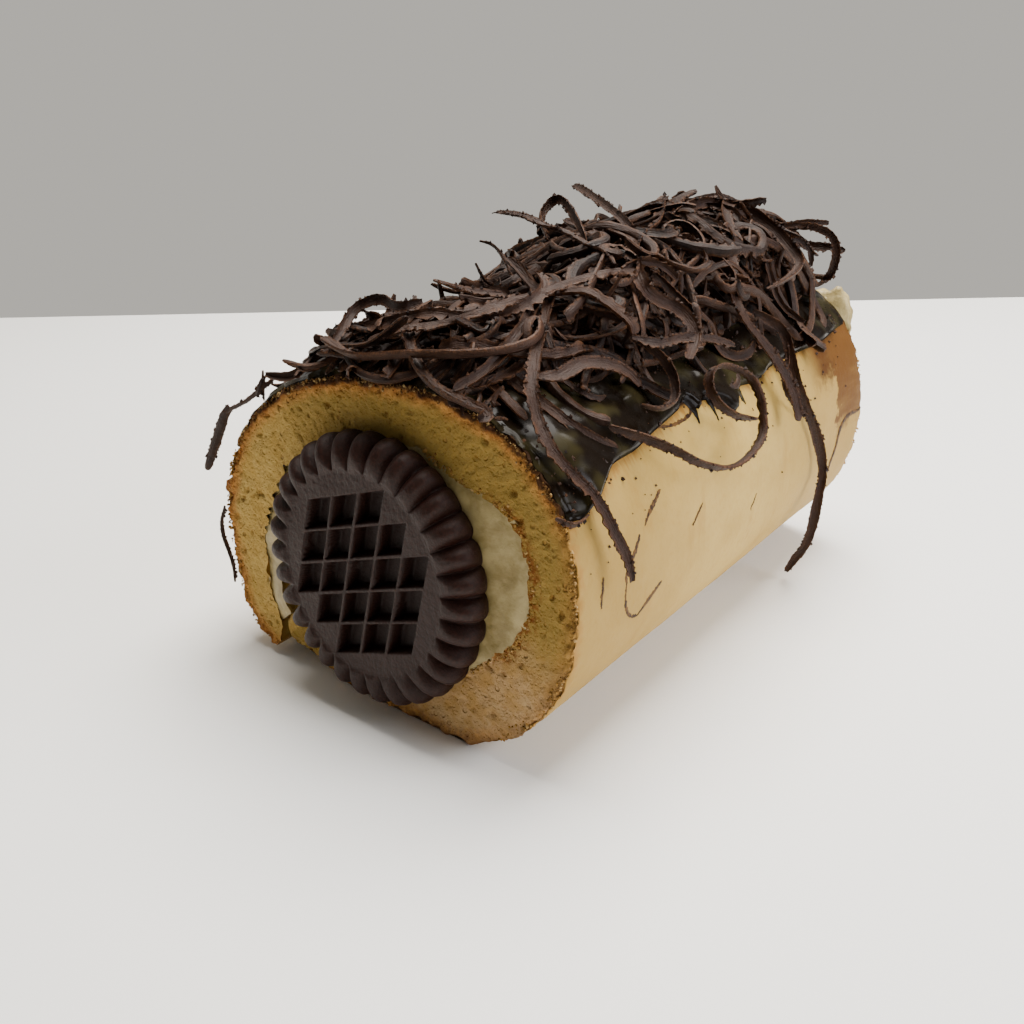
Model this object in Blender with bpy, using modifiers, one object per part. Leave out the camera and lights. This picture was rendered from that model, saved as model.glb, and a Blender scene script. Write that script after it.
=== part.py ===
"""Swiss roll cake: a rolled sponge sheet with a cream filling, a fluted chocolate biscuit
pressed on one cut end, and a heap of chocolate shavings along the top.

The roll lies along Y, with the biscuit at its -Y end. X is across, Z is up, and the origin is
under the middle of the roll, on the flat that it has settled onto. All sizes are in metres.
"""

import math

import bmesh
import bpy
from mathutils import Matrix, Vector

MM = 0.001

# ---------------------------------------------------------------- driving dimensions
GAP = 0.3 * MM                  # clearance between pieces that touch

# Rolled sponge: a soft round with a flat underside. Both cut ends lean the same way.
ROLL_LENGTH = 120.0 * MM                    # along the underside
END_LEANS = (6.5, 3.0)                      # how far the near and far ends lean back, in degrees
ROLL_MIDDLE = Vector((0.0, 33.0)) * MM      # (x, z) that the radii below are measured from
OUTLINE = (                     # (angle from +X in degrees, radius in mm) of the outer skin
    (0, 45.9), (24, 45.4), (42, 42.2), (62, 37.2), (90, 33.3), (113, 34.4), (135, 37.8),
    (160, 43.0), (180, 46.2), (200, 47.0), (213, 48.0), (226, 44.6), (250, 38.0), (280, 36.0),
    (302, 39.6), (314, 41.8), (332, 44.8), (348, 46.0),
)

# The sheet starts as a thin tail at the lower left, goes up and over clockwise, along the
# underside and then in under its own tail. Turns are counted in degrees from the tail's tip.
TAIL_ANGLE = 225.0              # where the tip lies, from +X
TAIL_RISE = (326.0, 362.0)      # turn over which the next layer leaves the underside
SHEET = (                       # (turn in degrees, thickness of the sheet in mm)
    (0, 2.4), (6, 8.4), (18, 11.0), (45, 12.2), (90, 11.0), (126, 9.9), (153, 11.6),
    (180, 14.8), (204, 10.4), (228, 10.4), (256, 15.0), (290, 12.4), (325, 11.4), (372, 10.4),
    (450, 9.6), (666, 9.0),
)
FILLING = (                     # (turn in degrees, thickness of the cream under the sheet in mm)
    (0, 3.8), (8, 1.4), (30, 2.2), (100, 3.0), (150, 3.4), (190, 6.0), (222, 9.2), (262, 4.0),
    (300, 3.2), (372, 4.0), (450, 4.2),
)
LAST_TURN = 666.0               # where the sheet ends, inside the roll
CREAM_START = 18.0              # where the cream starts, under the tail
TURN_STEP = 6.0                 # degrees between the points of the spiral, which divides the rest
SHEET_END_ROUND = 2.0 * MM      # how far the sheet's last edge bulges

# Cream squeezed out over the far end, near the right shoulder.
DAB_TURN = 189.0
DAB_DEPTH = 6.8 * MM            # its middle, in from the skin
DAB_RADII = Vector((11.4, 4.6, 5.2)) * MM   # in and out, along the roll, and around it
DAB_NECK_DEPTH = 16.3 * MM      # the middle of the cream that it is squeezed from
DAB_NECK_RADIUS = 1.8 * MM
DAB_NECK_LENGTH = 7.0 * MM

# Fluted biscuit with a lattice of wells. It lies flat on the near end and leans with it.
BISCUIT_MIDDLE = Vector((1.0, 30.6)) * MM           # (x, z) on the end of the roll
BISCUIT_PROFILE = (             # (radius, height above its back, depth of a flute), all in mm
    (0.0, 0.0, 0.0), (25.9, 0.0, 0.5), (26.8, 0.9, 0.8), (26.9, 3.9, 1.0),
    (25.7, 5.5, 1.3), (22.4, 6.6, 0.9), (20.6, 6.9, 0.0), (0.0, 6.9, 0.0),
)
FLUTES = 31
STEPS_PER_FLUTE = 4
WELL_PITCH = 7.25 * MM
WELL_SIDE = 5.6 * MM
WELL_DEPTH = 2.8 * MM
WELL_DIRECTIONS = (19.5, -100.5)            # along a row, and from row to row, in degrees
WELL_RINGS = 2                              # rings of wells around the middle one

# Heap of shavings over the top, out to its uneven outline.
HEAP_ANGLES = (33.0, 152.0)                 # right and left edges, from +X
HEAP_EDGE_SWAY = 4.5                        # how far an edge wanders up and down, in degrees
HEAP_EDGE_WAVES = (19.0, -14.0)             # how often each edge wanders, in radians of a sine
HEAP_EDGE_SHARE = 0.08                      # of its width and length, that its edges slope over
HEAP_STEPS = (28, 34)                       # cells across and along
HEAP_EDGE = 1.8 * MM                        # thickness at its edge
HEAP_CREST = (                              # (y in mm, height of the heap above the skin in mm)
    (-54, 6.0), (-44, 10.0), (-28, 12.5), (-12, 16.0), (3, 18.0), (28, 15.5), (48, 17.0),
    (60, 10.0), (64, 7.0),
)
HEAP_LUMPS = (                              # (waves along, waves across, phase, height in mm)
    (5.0, 2.0, 0.4, 1.3), (9.0, 3.0, 1.9, 1.0), (14.0, 5.0, 3.1, 0.8), (3.0, 7.0, 5.0, 0.6),
)


# ---------------------------------------------------------------- shared helpers
def smooth(t):
    """0 to 1 with level ends."""
    t = min(max(t, 0.0), 1.0)
    return t * t * (3.0 - 2.0 * t)


def through(values, t):
    """A point on the smooth curve between the middle two of four values, t from 0 to 1."""
    p0, p1, p2, p3 = values
    return 0.5 * (2 * p1 + (p2 - p0) * t + (2 * p0 - 5 * p1 + 4 * p2 - p3) * t * t
                  + (3 * p1 - p0 - 3 * p2 + p3) * t ** 3)


def along(table, at):
    """A value read from (place, value) pairs on a smooth curve, level beyond its ends."""
    places = [place for place, _ in table]
    values = [value for _, value in table]
    last = len(table) - 1
    if not places[0] < at < places[last]:
        return values[0] if at <= places[0] else values[last]
    k = max(i for i in range(last) if places[i] <= at)
    near = [values[min(max(k + i, 0), last)] for i in (-1, 0, 1, 2)]
    return through(near, (at - places[k]) / (places[k + 1] - places[k]))


def around(table, degrees):
    """A value read from (degrees, value) pairs that close on themselves, on a smooth curve."""
    degrees %= 360.0
    places = [place for place, _ in table] + [table[0][0] + 360.0]
    values = [value for _, value in table]
    count = len(values)
    k = max(i for i in range(count) if places[i] <= degrees)
    near = [values[(k + i) % count] for i in (-1, 0, 1, 2)]
    return through(near, (degrees - places[k]) / (places[k + 1] - places[k]))


def material(name, colour, roughness):
    """A Principled material in linear colour, none of it metal."""
    made = bpy.data.materials.new(name)
    made.use_nodes = True
    shader = made.node_tree.nodes["Principled BSDF"]
    shader.inputs["Base Color"].default_value = (*colour, 1.0)
    shader.inputs["Roughness"].default_value = roughness
    shader.inputs["Metallic"].default_value = 0.0
    return made


def collection(name):
    made = bpy.data.collections.new(name)
    bpy.context.scene.collection.children.link(made)
    return made


def add_object(name, mesh, group, finish=None):
    """An object for the mesh, in its collection and with its material."""
    made = bpy.data.objects.new(name, mesh)
    group.objects.link(made)
    if finish:
        mesh.materials.clear()
        mesh.materials.append(finish)
    return made


def cutter(name, bm, group):
    """A guide that is only cut away or joined on, from a bmesh that it uses up."""
    bmesh.ops.recalc_face_normals(bm, faces=bm.faces)
    mesh = bpy.data.meshes.new(name)
    bm.to_mesh(mesh)
    bm.free()
    made = add_object(name, mesh, group)
    made.hide_render = True
    made.display_type = "WIRE"
    return made


def mesh_of(source, name):
    """The evaluated mesh of an object, closed and in world space. The source is removed."""
    bpy.context.view_layer.update()
    evaluated = source.evaluated_get(bpy.context.evaluated_depsgraph_get())
    mesh = bpy.data.meshes.new_from_object(evaluated)
    mesh.name = name
    mesh.transform(source.matrix_world)
    bpy.data.objects.remove(source, do_unlink=True)
    bm = bmesh.new()
    bm.from_mesh(mesh)
    bmesh.ops.remove_doubles(bm, verts=bm.verts, dist=0.00001)
    bmesh.ops.recalc_face_normals(bm, faces=bm.faces)
    bm.to_mesh(mesh)
    bm.free()
    return mesh


def end_at(z, side):
    """Where an end of the roll lies at this height: side is -1 for the near end, 1 for the far."""
    lean = math.tan(math.radians(END_LEANS[0 if side < 0 else 1]))
    return side * ROLL_LENGTH / 2.0 + z * lean


def extruded(name, outline):
    """A solid of one closed (x, z) outline, running along Y between the leaning ends."""
    curve = bpy.data.curves.new(name, "CURVE")
    curve.dimensions = "2D"
    curve.fill_mode = "BOTH"
    curve.extrude = ROLL_LENGTH / 2.0
    spline = curve.splines.new("POLY")
    spline.points.add(len(outline) - 1)
    for point, (x, z) in zip(spline.points, outline):
        point.co = (x, z, 0.0, 1.0)
    spline.use_cyclic_u = True
    flat = bpy.data.objects.new(name, curve)
    bpy.context.scene.collection.objects.link(flat)
    flat.rotation_euler = (math.radians(90.0), 0.0, 0.0)
    mesh = mesh_of(flat, name)
    for vertex in mesh.vertices:
        vertex.co.y = end_at(vertex.co.z, math.copysign(1, vertex.co.y))
    return mesh


# ---------------------------------------------------------------- the spiral
def outer_depth(turn):
    """How far the sheet's outer surface lies inside the roll's outline, in metres."""
    if turn >= 360.0:
        return inner_depth(turn - 360.0) + along(FILLING, turn - 360.0) * MM
    start, end = TAIL_RISE
    first = (along(SHEET, 0.0) + along(FILLING, 0.0)) * MM
    return first * smooth((turn - start) / (end - start))


def inner_depth(turn):
    return outer_depth(turn) + along(SHEET, turn) * MM


def on_spiral(turn, depth):
    """The (x, z) point at this turn, this deep inside the outline, and not below the underside."""
    degrees = TAIL_ANGLE - turn
    radius = around(OUTLINE, degrees) * MM
    direction = Vector((math.cos(math.radians(degrees)), math.sin(math.radians(degrees))))
    if direction.y < 0.0:
        radius = min(radius, ROLL_MIDDLE.y / -direction.y)
    return ROLL_MIDDLE + direction * (radius - depth)


def turns(start, end):
    count = round((end - start) / TURN_STEP)
    return [start + (end - start) * i / count for i in range(count + 1)]


def blunt_end(at_turn, outside, inside, bulge):
    """Points that round off the sheet's last edge, from its inner to its outer surface."""
    ahead = on_spiral(at_turn + 1.0, (outside + inside) / 2.0)
    here = on_spiral(at_turn, (outside + inside) / 2.0)
    forward = (ahead - here).normalized() * bulge
    return [on_spiral(at_turn, inside + (outside - inside) * t) + forward * math.sin(math.pi * t)
            for t in (0.25, 0.5, 0.75)]


def sponge_outline():
    outer = [on_spiral(t, outer_depth(t)) for t in turns(0.0, LAST_TURN)]
    inner = [on_spiral(t, inner_depth(t)) for t in turns(0.0, LAST_TURN)]
    end = blunt_end(LAST_TURN, outer_depth(LAST_TURN), inner_depth(LAST_TURN), SHEET_END_ROUND)
    return outer + end[::-1] + inner[::-1]


def cream_outline():
    """The filling between the turns, and the core inside the last one."""
    first, last = CREAM_START, LAST_TURN
    under = [on_spiral(t, inner_depth(t) + GAP) for t in turns(first, last)]
    end = blunt_end(last, outer_depth(last) - GAP, inner_depth(last) + GAP, SHEET_END_ROUND + GAP)
    over = [on_spiral(t, outer_depth(t) - GAP) for t in turns(first + 360.0, last)]
    return under + end + over[::-1]


def make_sponge(group):
    finish = material("sponge crumb", (0.56, 0.36, 0.12), 0.9)
    return add_object("sponge", extruded("sponge", sponge_outline()), group, finish)


def make_cream(group, cutters):
    """The spiral of cream, with the dab that stands out of the far end joined on."""
    finish = material("whipped cream", (0.80, 0.72, 0.50), 0.5)
    filling = extruded("cream", cream_outline())
    cream = add_object("cream", filling, group, finish)
    for part in make_dab(cutters):
        join = cream.modifiers.new(part.name, "BOOLEAN")
        join.operation = "UNION"
        join.object = part
    return cream


def make_dab(cutters):
    """A neck that comes out of the filling, and a rounded dab that lies on the far end."""
    lean = Matrix.Rotation(math.radians(-END_LEANS[1]), 4, "X")
    x, z = on_spiral(DAB_TURN, DAB_NECK_DEPTH)
    neck = Matrix.Translation((x, end_at(z, 1), z)) @ Matrix.Rotation(math.radians(90.0), 4, "X")
    neck_mesh = bmesh.new()
    bmesh.ops.create_cone(neck_mesh, cap_ends=True, segments=10, radius1=DAB_NECK_RADIUS,
                          radius2=DAB_NECK_RADIUS, depth=DAB_NECK_LENGTH, matrix=neck)
    x, z = on_spiral(DAB_TURN, DAB_DEPTH)
    middle = Vector((x, end_at(z, 1) + GAP, z))
    dab = (Matrix.Translation(middle) @ lean
           @ Matrix.Rotation(math.radians(DAB_TURN - TAIL_ANGLE), 4, "Y")
           @ Matrix.Diagonal((*DAB_RADII, 1.0)))
    dab_mesh = bmesh.new()
    bmesh.ops.create_uvsphere(dab_mesh, u_segments=16, v_segments=10, radius=1.0, matrix=dab)
    cut = bmesh.ops.bisect_plane(
        dab_mesh, geom=dab_mesh.verts[:] + dab_mesh.edges[:] + dab_mesh.faces[:],
        plane_co=middle, plane_no=lean @ Vector((0.0, 1.0, 0.0)), clear_inner=True, dist=1e-6)
    bmesh.ops.holes_fill(dab_mesh, edges=[e for e in cut["geom_cut"]
                                          if isinstance(e, bmesh.types.BMEdge)])
    return [cutter(name, bm, cutters) for name, bm in (("dab neck", neck_mesh), ("dab", dab_mesh))]


# ---------------------------------------------------------------- the biscuit
def biscuit_place():
    """Turns a disc that faces +Z to face out of the near end, and sets its back on that end."""
    x, z = BISCUIT_MIDDLE
    return (Matrix.Translation((x, end_at(z, -1) - GAP, z))
            @ Matrix.Rotation(math.radians(90.0 - END_LEANS[0]), 4, "X"))


def make_biscuit(group, cutters):
    """A turned disc whose rim is pressed into flutes, cut by a lattice of rhombic wells."""
    bm = bmesh.new()
    rings = [bm.verts.new((radius * MM, 0.0, height * MM))
             for radius, height, _ in reversed(BISCUIT_PROFILE)]
    for a, b in zip(rings, rings[1:]):
        bm.edges.new((a, b))
    profile = bpy.data.meshes.new("biscuit profile")
    bm.to_mesh(profile)
    bm.free()
    disc = add_object("biscuit profile", profile, bpy.context.scene.collection)
    screw = disc.modifiers.new("turn", "SCREW")
    screw.axis = "Z"
    screw.steps = FLUTES * STEPS_PER_FLUTE
    screw.render_steps = screw.steps
    screw.use_merge_vertices = True
    screw.merge_threshold = 0.00001
    mesh = mesh_of(disc, "biscuit")
    rim = BISCUIT_PROFILE[1:-1]
    for vertex in mesh.vertices:
        radius = math.hypot(vertex.co.x, vertex.co.y)
        if radius > rim[-1][0] * MM / 2.0:
            _, _, depth = min(rim, key=lambda ring: abs(ring[1] * MM - vertex.co.z))
            angle = math.atan2(vertex.co.y, vertex.co.x)
            valley = 1.0 - abs(math.cos(angle * FLUTES / 2.0))
            vertex.co.xy *= 1.0 - depth * MM * valley / radius
    mesh.transform(biscuit_place())
    finish = material("cocoa biscuit", (0.024, 0.014, 0.012), 0.75)
    biscuit = add_object("biscuit", mesh, group, finish)
    cut = biscuit.modifiers.new("wells", "BOOLEAN")
    cut.operation = "DIFFERENCE"
    cut.object = make_wells(cutters)
    return biscuit


def make_wells(cutters):
    """One cutter of rhombic blocks, in a hexagon around the middle of the biscuit."""
    row, column = (Vector((math.cos(math.radians(a)), math.sin(math.radians(a)), 0.0))
                   for a in WELL_DIRECTIONS)
    top = max(height for _, height, _ in BISCUIT_PROFILE) * MM
    block = Matrix((row * WELL_SIDE, column * WELL_SIDE, (0.0, 0.0, 2.0 * WELL_DEPTH)))
    block = block.transposed().to_4x4()
    bm = bmesh.new()
    span = range(-WELL_RINGS, WELL_RINGS + 1)
    for i in span:
        for j in span:
            if abs(i - j) <= WELL_RINGS:
                x, y, _ = (row * i + column * j) * WELL_PITCH
                place = biscuit_place() @ Matrix.Translation((x, y, top))
                bmesh.ops.create_cube(bm, size=1.0, matrix=place @ block)
    return cutter("wells", bm, cutters)


# ---------------------------------------------------------------- the heap of shavings
def heap_height(across, along_roll, y):
    """How far the heap stands off the skin. The first two places run from 0 to 1."""
    crest = along(HEAP_CREST, y / MM) * MM
    dome = math.sin(math.pi * across) ** 0.75
    lumps = sum(height * math.sin(waves_y * math.pi * along_roll + phase)
                * math.sin(waves_x * math.pi * across + 0.7 * phase)
                for waves_y, waves_x, phase, height in HEAP_LUMPS)
    rim = min(across, 1.0 - across, along_roll, 1.0 - along_roll)
    held = smooth(rim / HEAP_EDGE_SHARE)
    return HEAP_EDGE + (crest - HEAP_EDGE) * dome * (0.55 + 0.45 * held) + lumps * MM * held


def on_heap(across, along_roll, raised):
    """A point of the heap: under it, just off the skin, or raised to its top."""
    right, left = (edge + HEAP_EDGE_SWAY * math.sin(waves * along_roll)
                   for edge, waves in zip(HEAP_ANGLES, HEAP_EDGE_WAVES))
    turn = TAIL_ANGLE - right - (left - right) * across
    skin_z = on_spiral(turn, 0.0).y
    y = end_at(skin_z, -1) * (1.0 - along_roll) + end_at(skin_z, 1) * along_roll
    lift = GAP + (heap_height(across, along_roll, y) if raised else 0.0)
    x, z = on_spiral(turn, -lift)
    return x, y, z


def make_shavings(group):
    """A grid wrapped over the top of the roll, thickened into the heap's solid."""
    cells_x, cells_y = HEAP_STEPS
    bm = bmesh.new()
    bmesh.ops.create_grid(bm, x_segments=cells_x, y_segments=cells_y, size=0.5)
    sheet = list(bm.faces)
    top = bmesh.ops.extrude_face_region(bm, geom=sheet, use_keep_orig=True)["geom"]
    raised = {v for v in top if isinstance(v, bmesh.types.BMVert)}
    for vertex in bm.verts:
        vertex.co = on_heap(vertex.co.x + 0.5, vertex.co.y + 0.5, vertex in raised)
    bmesh.ops.recalc_face_normals(bm, faces=bm.faces)
    if bm.calc_volume(signed=True) < 0.0:
        bmesh.ops.reverse_faces(bm, faces=bm.faces)
    mesh = bpy.data.meshes.new("shavings")
    bm.to_mesh(mesh)
    bm.free()
    return add_object("shavings", mesh, group, material("dark chocolate", (0.05, 0.03, 0.02), 0.6))


def main():
    for leftover in list(bpy.data.objects):
        bpy.data.objects.remove(leftover, do_unlink=True)
    cake = collection("swiss roll cake")
    cutters = collection("cutters")
    pieces = [make_sponge(cake), make_cream(cake, cutters), make_biscuit(cake, cutters),
              make_shavings(cake)]
    for piece in pieces:
        piece.data.shade_smooth()
        piece.data.set_sharp_from_angle(angle=math.radians(40.0))


main()
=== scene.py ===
# %% [markdown]
# # A swiss roll with a chocolate biscuit and chocolate shavings
# The real cake is a thin sponge sheet, spread with cream and rolled up. A dark glaze is poured
# over the top, shavings are heaped on it while it is wet, and a fluted biscuit is pressed onto
# the cut end. Here the CAD model is the fixed frame, and each food gets a mesh fine enough to
# show its own surface: pores in the crumb, lumps in the glaze, curls in the chocolate.

# %% Load the frame
import math

import bpy
import numpy as np
from mathutils import Matrix, Vector, noise


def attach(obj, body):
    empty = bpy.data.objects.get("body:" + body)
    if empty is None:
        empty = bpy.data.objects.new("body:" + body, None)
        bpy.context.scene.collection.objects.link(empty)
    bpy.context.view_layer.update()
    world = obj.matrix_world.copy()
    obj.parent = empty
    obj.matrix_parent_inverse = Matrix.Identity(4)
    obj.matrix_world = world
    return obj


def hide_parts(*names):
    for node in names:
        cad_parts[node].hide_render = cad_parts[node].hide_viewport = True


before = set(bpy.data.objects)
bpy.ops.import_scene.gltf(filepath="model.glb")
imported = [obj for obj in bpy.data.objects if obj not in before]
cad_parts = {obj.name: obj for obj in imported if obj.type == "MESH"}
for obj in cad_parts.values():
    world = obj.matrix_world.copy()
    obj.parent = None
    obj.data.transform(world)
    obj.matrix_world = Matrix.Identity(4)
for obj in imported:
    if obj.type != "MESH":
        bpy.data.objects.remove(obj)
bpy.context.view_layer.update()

# %% [markdown]
# ## Helpers
# All shapes are worked out in millimetres, the unit that a baker's ruler has, and turned into
# metres when the mesh is made. Grids of points are quick to compute with numpy, and a grid is
# all that is needed here: a cake has few corners and many small lumps.

# %% Grids and meshes
MM = 0.001


def smooth(t):
    """0 to 1 with level ends."""
    t = np.clip(t, 0.0, 1.0)
    return t * t * (3.0 - 2.0 * t)


def curve_through(table, at, period=None):
    """Reads a smooth curve through (place, value) pairs at many places at once."""
    places, values = (np.array(column, float) for column in zip(*table))
    if period:
        at = np.mod(at, period)
        places = np.concatenate([places[-2:] - period, places, places[:3] + period])
        values = np.concatenate([values[-2:], values, values[:3]])
    else:
        at = np.clip(at, places[0], places[-1])
        places = np.concatenate([[places[0] - 1.0], places, [places[-1] + 1.0]])
        values = np.concatenate([values[:1], values, values[-1:]])
    k = np.clip(np.searchsorted(places, at, side="right") - 1, 1, len(places) - 3)
    t = (at - places[k]) / (places[k + 1] - places[k])
    a, b, c, d = (values[k + i] for i in (-1, 0, 1, 2))
    return 0.5 * (2 * b + (c - a) * t + (2 * a - 5 * b + 4 * c - d) * t * t
                  + (3 * b - a - 3 * c + d) * t ** 3)


def grid_faces(index, closed=False):
    """The quads between neighbours in a 2-D array of vertex numbers."""
    if closed:
        index = np.concatenate([index, index[:, :1]], axis=1)
    a, b, c, d = index[:-1, :-1], index[1:, :-1], index[1:, 1:], index[:-1, 1:]
    return np.stack([a, b, c, d], axis=-1).reshape(-1, 4)


def bumps(points, size, octaves=1, seed=0.0):
    """Soft noise from -1 to 1 at points in mm, whose lumps are about this size in mm."""
    scaled = points / size + seed
    if octaves == 1:
        return np.array([noise.noise(p) for p in scaled.tolist()])
    return np.array([noise.fractal(p, 0.7, 2.0, octaves) for p in scaled.tolist()])


def make_piece(name, points, faces, materials, slot, replaced=(), face_material=None, values=None,
               crease=None):
    """A smooth-shaded piece from points in mm, which rides on the cake. Edges sharper than
    crease, in degrees, stay crisp."""
    mesh = bpy.data.meshes.new(name)
    mesh.from_pydata((np.asarray(points) * MM).tolist(), [], np.asarray(faces).tolist())
    for key, data in (values or {}).items():
        mesh.attributes.new(key, "FLOAT", "POINT").data.foreach_set("value", np.float32(data))
    for finish in materials:
        mesh.materials.append(finish)
    if face_material is not None:
        mesh.polygons.foreach_set("material_index", np.int32(face_material))
    mesh.shade_smooth()
    if crease:
        mesh.set_sharp_from_angle(angle=math.radians(crease))
    piece = bpy.data.objects.new(name, mesh)
    bpy.context.scene.collection.objects.link(piece)
    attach(piece, "root")
    if replaced:
        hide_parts(*replaced)
    triangles = sum(len(p.vertices) - 2 for p in mesh.polygons)
    print(f"{name}: {triangles} triangles, "
          + " x ".join(f"{v:.1f}" for v in np.ptp(points, axis=0)) + " mm")
    return piece


# %% [markdown]
# ## Camera and light
# The cake stands on a pale table in soft, even light from above and from the right, so its cut
# end lies in gentle shade. Large area lamps give that: their shadows have no hard edges.

# %% Camera
camera_data = bpy.data.cameras.new("camera")
camera_data.lens = 39.19
camera_data.sensor_width = 36.0
camera_data.clip_start = 0.01
camera = bpy.data.objects.new("camera", camera_data)
bpy.context.scene.collection.objects.link(camera)
CAMERA_PLACE = Vector((138.37, -186.37, 133.59)) * MM
LOOK_ROUND, LOOK_DOWN, CAMERA_ROLL = 39.13, 26.29, -1.67      # degrees
camera.matrix_world = (Matrix.Translation(CAMERA_PLACE)
                       @ Matrix.Rotation(math.radians(LOOK_ROUND), 4, "Z")
                       @ Matrix.Rotation(math.radians(90.0 - LOOK_DOWN), 4, "X")
                       @ Matrix.Rotation(math.radians(CAMERA_ROLL), 4, "Z"))
bpy.context.scene.camera = camera
print("camera height in mm:", round(CAMERA_PLACE.z / MM))


# %% Colours and nodes
def linear(code):
    """An sRGB hex colour as linear red, green, blue and alpha."""
    parts = [int(code[i:i + 2], 16) / 255.0 for i in (1, 3, 5)]
    return (*[p / 12.92 if p <= 0.04045 else ((p + 0.055) / 1.055) ** 2.4 for p in parts], 1.0)


def add(tree, kind, inputs, out=0, **settings):
    """Adds a shader node with its settings, and with a value, a hex colour or a link for each
    input. Returns one of its outputs, ready to be linked."""
    made = tree.nodes.new("ShaderNode" + kind)
    for key, value in settings.items():
        setattr(made, key, value)
    for key, value in inputs.items():
        if isinstance(value, bpy.types.NodeSocket):
            tree.links.new(value, made.inputs[key])
        else:
            made.inputs[key].default_value = linear(value) if isinstance(value, str) else value
    return made.outputs[out]


def new_material(name, **shader_values):
    """A material whose Principled shader has these values. Returns it, its tree and its shader."""
    made = bpy.data.materials.new(name)
    made.use_nodes = True
    shader = made.node_tree.nodes["Principled BSDF"]
    for key, value in shader_values.items():
        shader.inputs[key.replace("_", " ")].default_value = value
    return made, made.node_tree, shader


# Settings that come back often. MapRange takes a value (0), the range it comes from (1, 2) and
# the range it goes to (3, 4). Mix takes a share (0) and two colours (6, 7).
EASED = {"interpolation_type": "SMOOTHSTEP"}
COLOURS = {"out": 2, "data_type": "RGBA"}
TIMES, MINUS = {"operation": "MULTIPLY"}, {"operation": "SUBTRACT"}
print("a mid grey is", round(linear("#808080")[0], 3), "in linear light")

# %% Light and table
ROOM_BEHIND, ROOM_AHEAD = 0.15, 0.78    # how bright the room is, behind and ahead of the viewer
world = bpy.data.worlds.new("soft room")
bpy.context.scene.world = world
world.use_nodes = True
sky = world.node_tree
look = Vector((-math.sin(math.radians(LOOK_ROUND)), math.cos(math.radians(LOOK_ROUND)), 0.0))
seen = add(sky, "TexCoord", {}, "Generated")
ahead = add(sky, "VectorMath", {0: seen, 1: look}, "Value", operation="DOT_PRODUCT")
glow = add(sky, "MapRange", {0: ahead, 1: -0.6, 2: 0.7, 3: ROOM_BEHIND, 4: ROOM_AHEAD})
sky.links.new(glow, sky.nodes["Background"].inputs["Strength"])
sky.nodes["Background"].inputs["Color"].default_value = linear("#D9D5CD")

LAMPS = (       # name, place in mm, side in mm, watts, colour
    ("ceiling light", (-20, 160, 560), 420, 9.5, "#FFFAF3"),
    ("window on the right", (520, 160, 300), 320, 3.8, "#F6F8FF"),
)
for name, place, side, watts, colour in LAMPS:
    lamp_data = bpy.data.lights.new(name, "AREA")
    lamp_data.size = side * MM
    lamp_data.energy = watts
    lamp_data.color = linear(colour)[:3]
    lamp = bpy.data.objects.new(name, lamp_data)
    lamp.location = Vector(place) * MM
    lamp.rotation_euler = (-lamp.location).to_track_quat("-Z", "Y").to_euler()
    bpy.context.scene.collection.objects.link(lamp)

TABLE_FAR, TABLE_TURN = 469.0, 1.8      # mm from below the camera to the table's far edge, and its slant in degrees
TABLE_SIDE = 3000.0
table_paint, _, _ = new_material("white laminate", Base_Color=linear("#FBFAF6"), Roughness=0.6)
across = Matrix.Rotation(math.radians(-TABLE_TURN), 3, "Z") @ Vector((look.y, -look.x, 0.0))
far = Vector((CAMERA_PLACE.x, CAMERA_PLACE.y, 0.0)) + look * TABLE_FAR * MM
corners = [far + across * side * TABLE_SIDE * MM / 2 - look * back * TABLE_SIDE * MM
           for side, back in ((-1, 0), (1, 0), (1, 1), (-1, 1))]
table_mesh = bpy.data.meshes.new("table")
table_mesh.from_pydata([tuple(c) for c in corners], [], [(0, 3, 2, 1)])
table_mesh.materials.append(table_paint)
table = bpy.data.objects.new("table", table_mesh)
bpy.context.scene.collection.objects.link(table)
print("lamps:", len(LAMPS))

# %% [markdown]
# ## The roll's section
# The sheet starts as a thin tail at the lower left, goes up and over, along the underside and
# in under its own tail. Its skin is a closed curve of angle and radius. Every place in the
# sheet or in the cream is then a turn, counted from the tail, and a depth below that skin.

# %% Sizes of the roll
ROLL_LENGTH = 120.0
END_LEANS = (6.5, 3.0)          # how far the near and far ends lean back, in degrees
MIDDLE = np.array([0.0, 33.0])  # (x, z) that the radii are measured from
OUTLINE = (                     # (angle from +X in degrees, radius in mm)
    (0, 45.9), (24, 45.4), (42, 42.2), (62, 37.2), (90, 33.3), (113, 34.4), (135, 37.8),
    (160, 43.0), (180, 46.2), (200, 47.0), (213, 48.0), (226, 44.6), (250, 38.0), (280, 36.0),
    (302, 39.6), (314, 41.8), (332, 44.8), (348, 46.0),
)
TAIL_ANGLE, LAST_TURN, CREAM_START = 225.0, 666.0, 5.0
TAIL_RISE = (326.0, 362.0)      # turn over which the next layer leaves the underside
SHEET = (                       # (turn in degrees, thickness of the sheet in mm)
    (0, 2.4), (6, 8.4), (18, 11.0), (45, 12.2), (90, 11.0), (126, 9.9), (153, 11.6),
    (180, 14.8), (204, 10.4), (228, 10.4), (256, 15.0), (290, 12.4), (325, 11.4), (372, 10.4),
    (450, 9.6), (666, 9.0),
)
FILLING = (                     # (turn in degrees, thickness of the cream under the sheet in mm)
    (0, 3.8), (8, 1.4), (30, 2.2), (100, 3.0), (150, 3.4), (190, 6.0), (222, 9.2), (262, 4.0),
    (300, 3.2), (372, 4.0), (450, 4.2),
)


def end_at(z, side):
    """Where an end of the roll lies at this height: side is -1 for the near end, 1 for the far."""
    lean = np.where(side < 0, *[math.tan(math.radians(a)) for a in END_LEANS])
    return side * ROLL_LENGTH / 2.0 + z * lean


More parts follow.
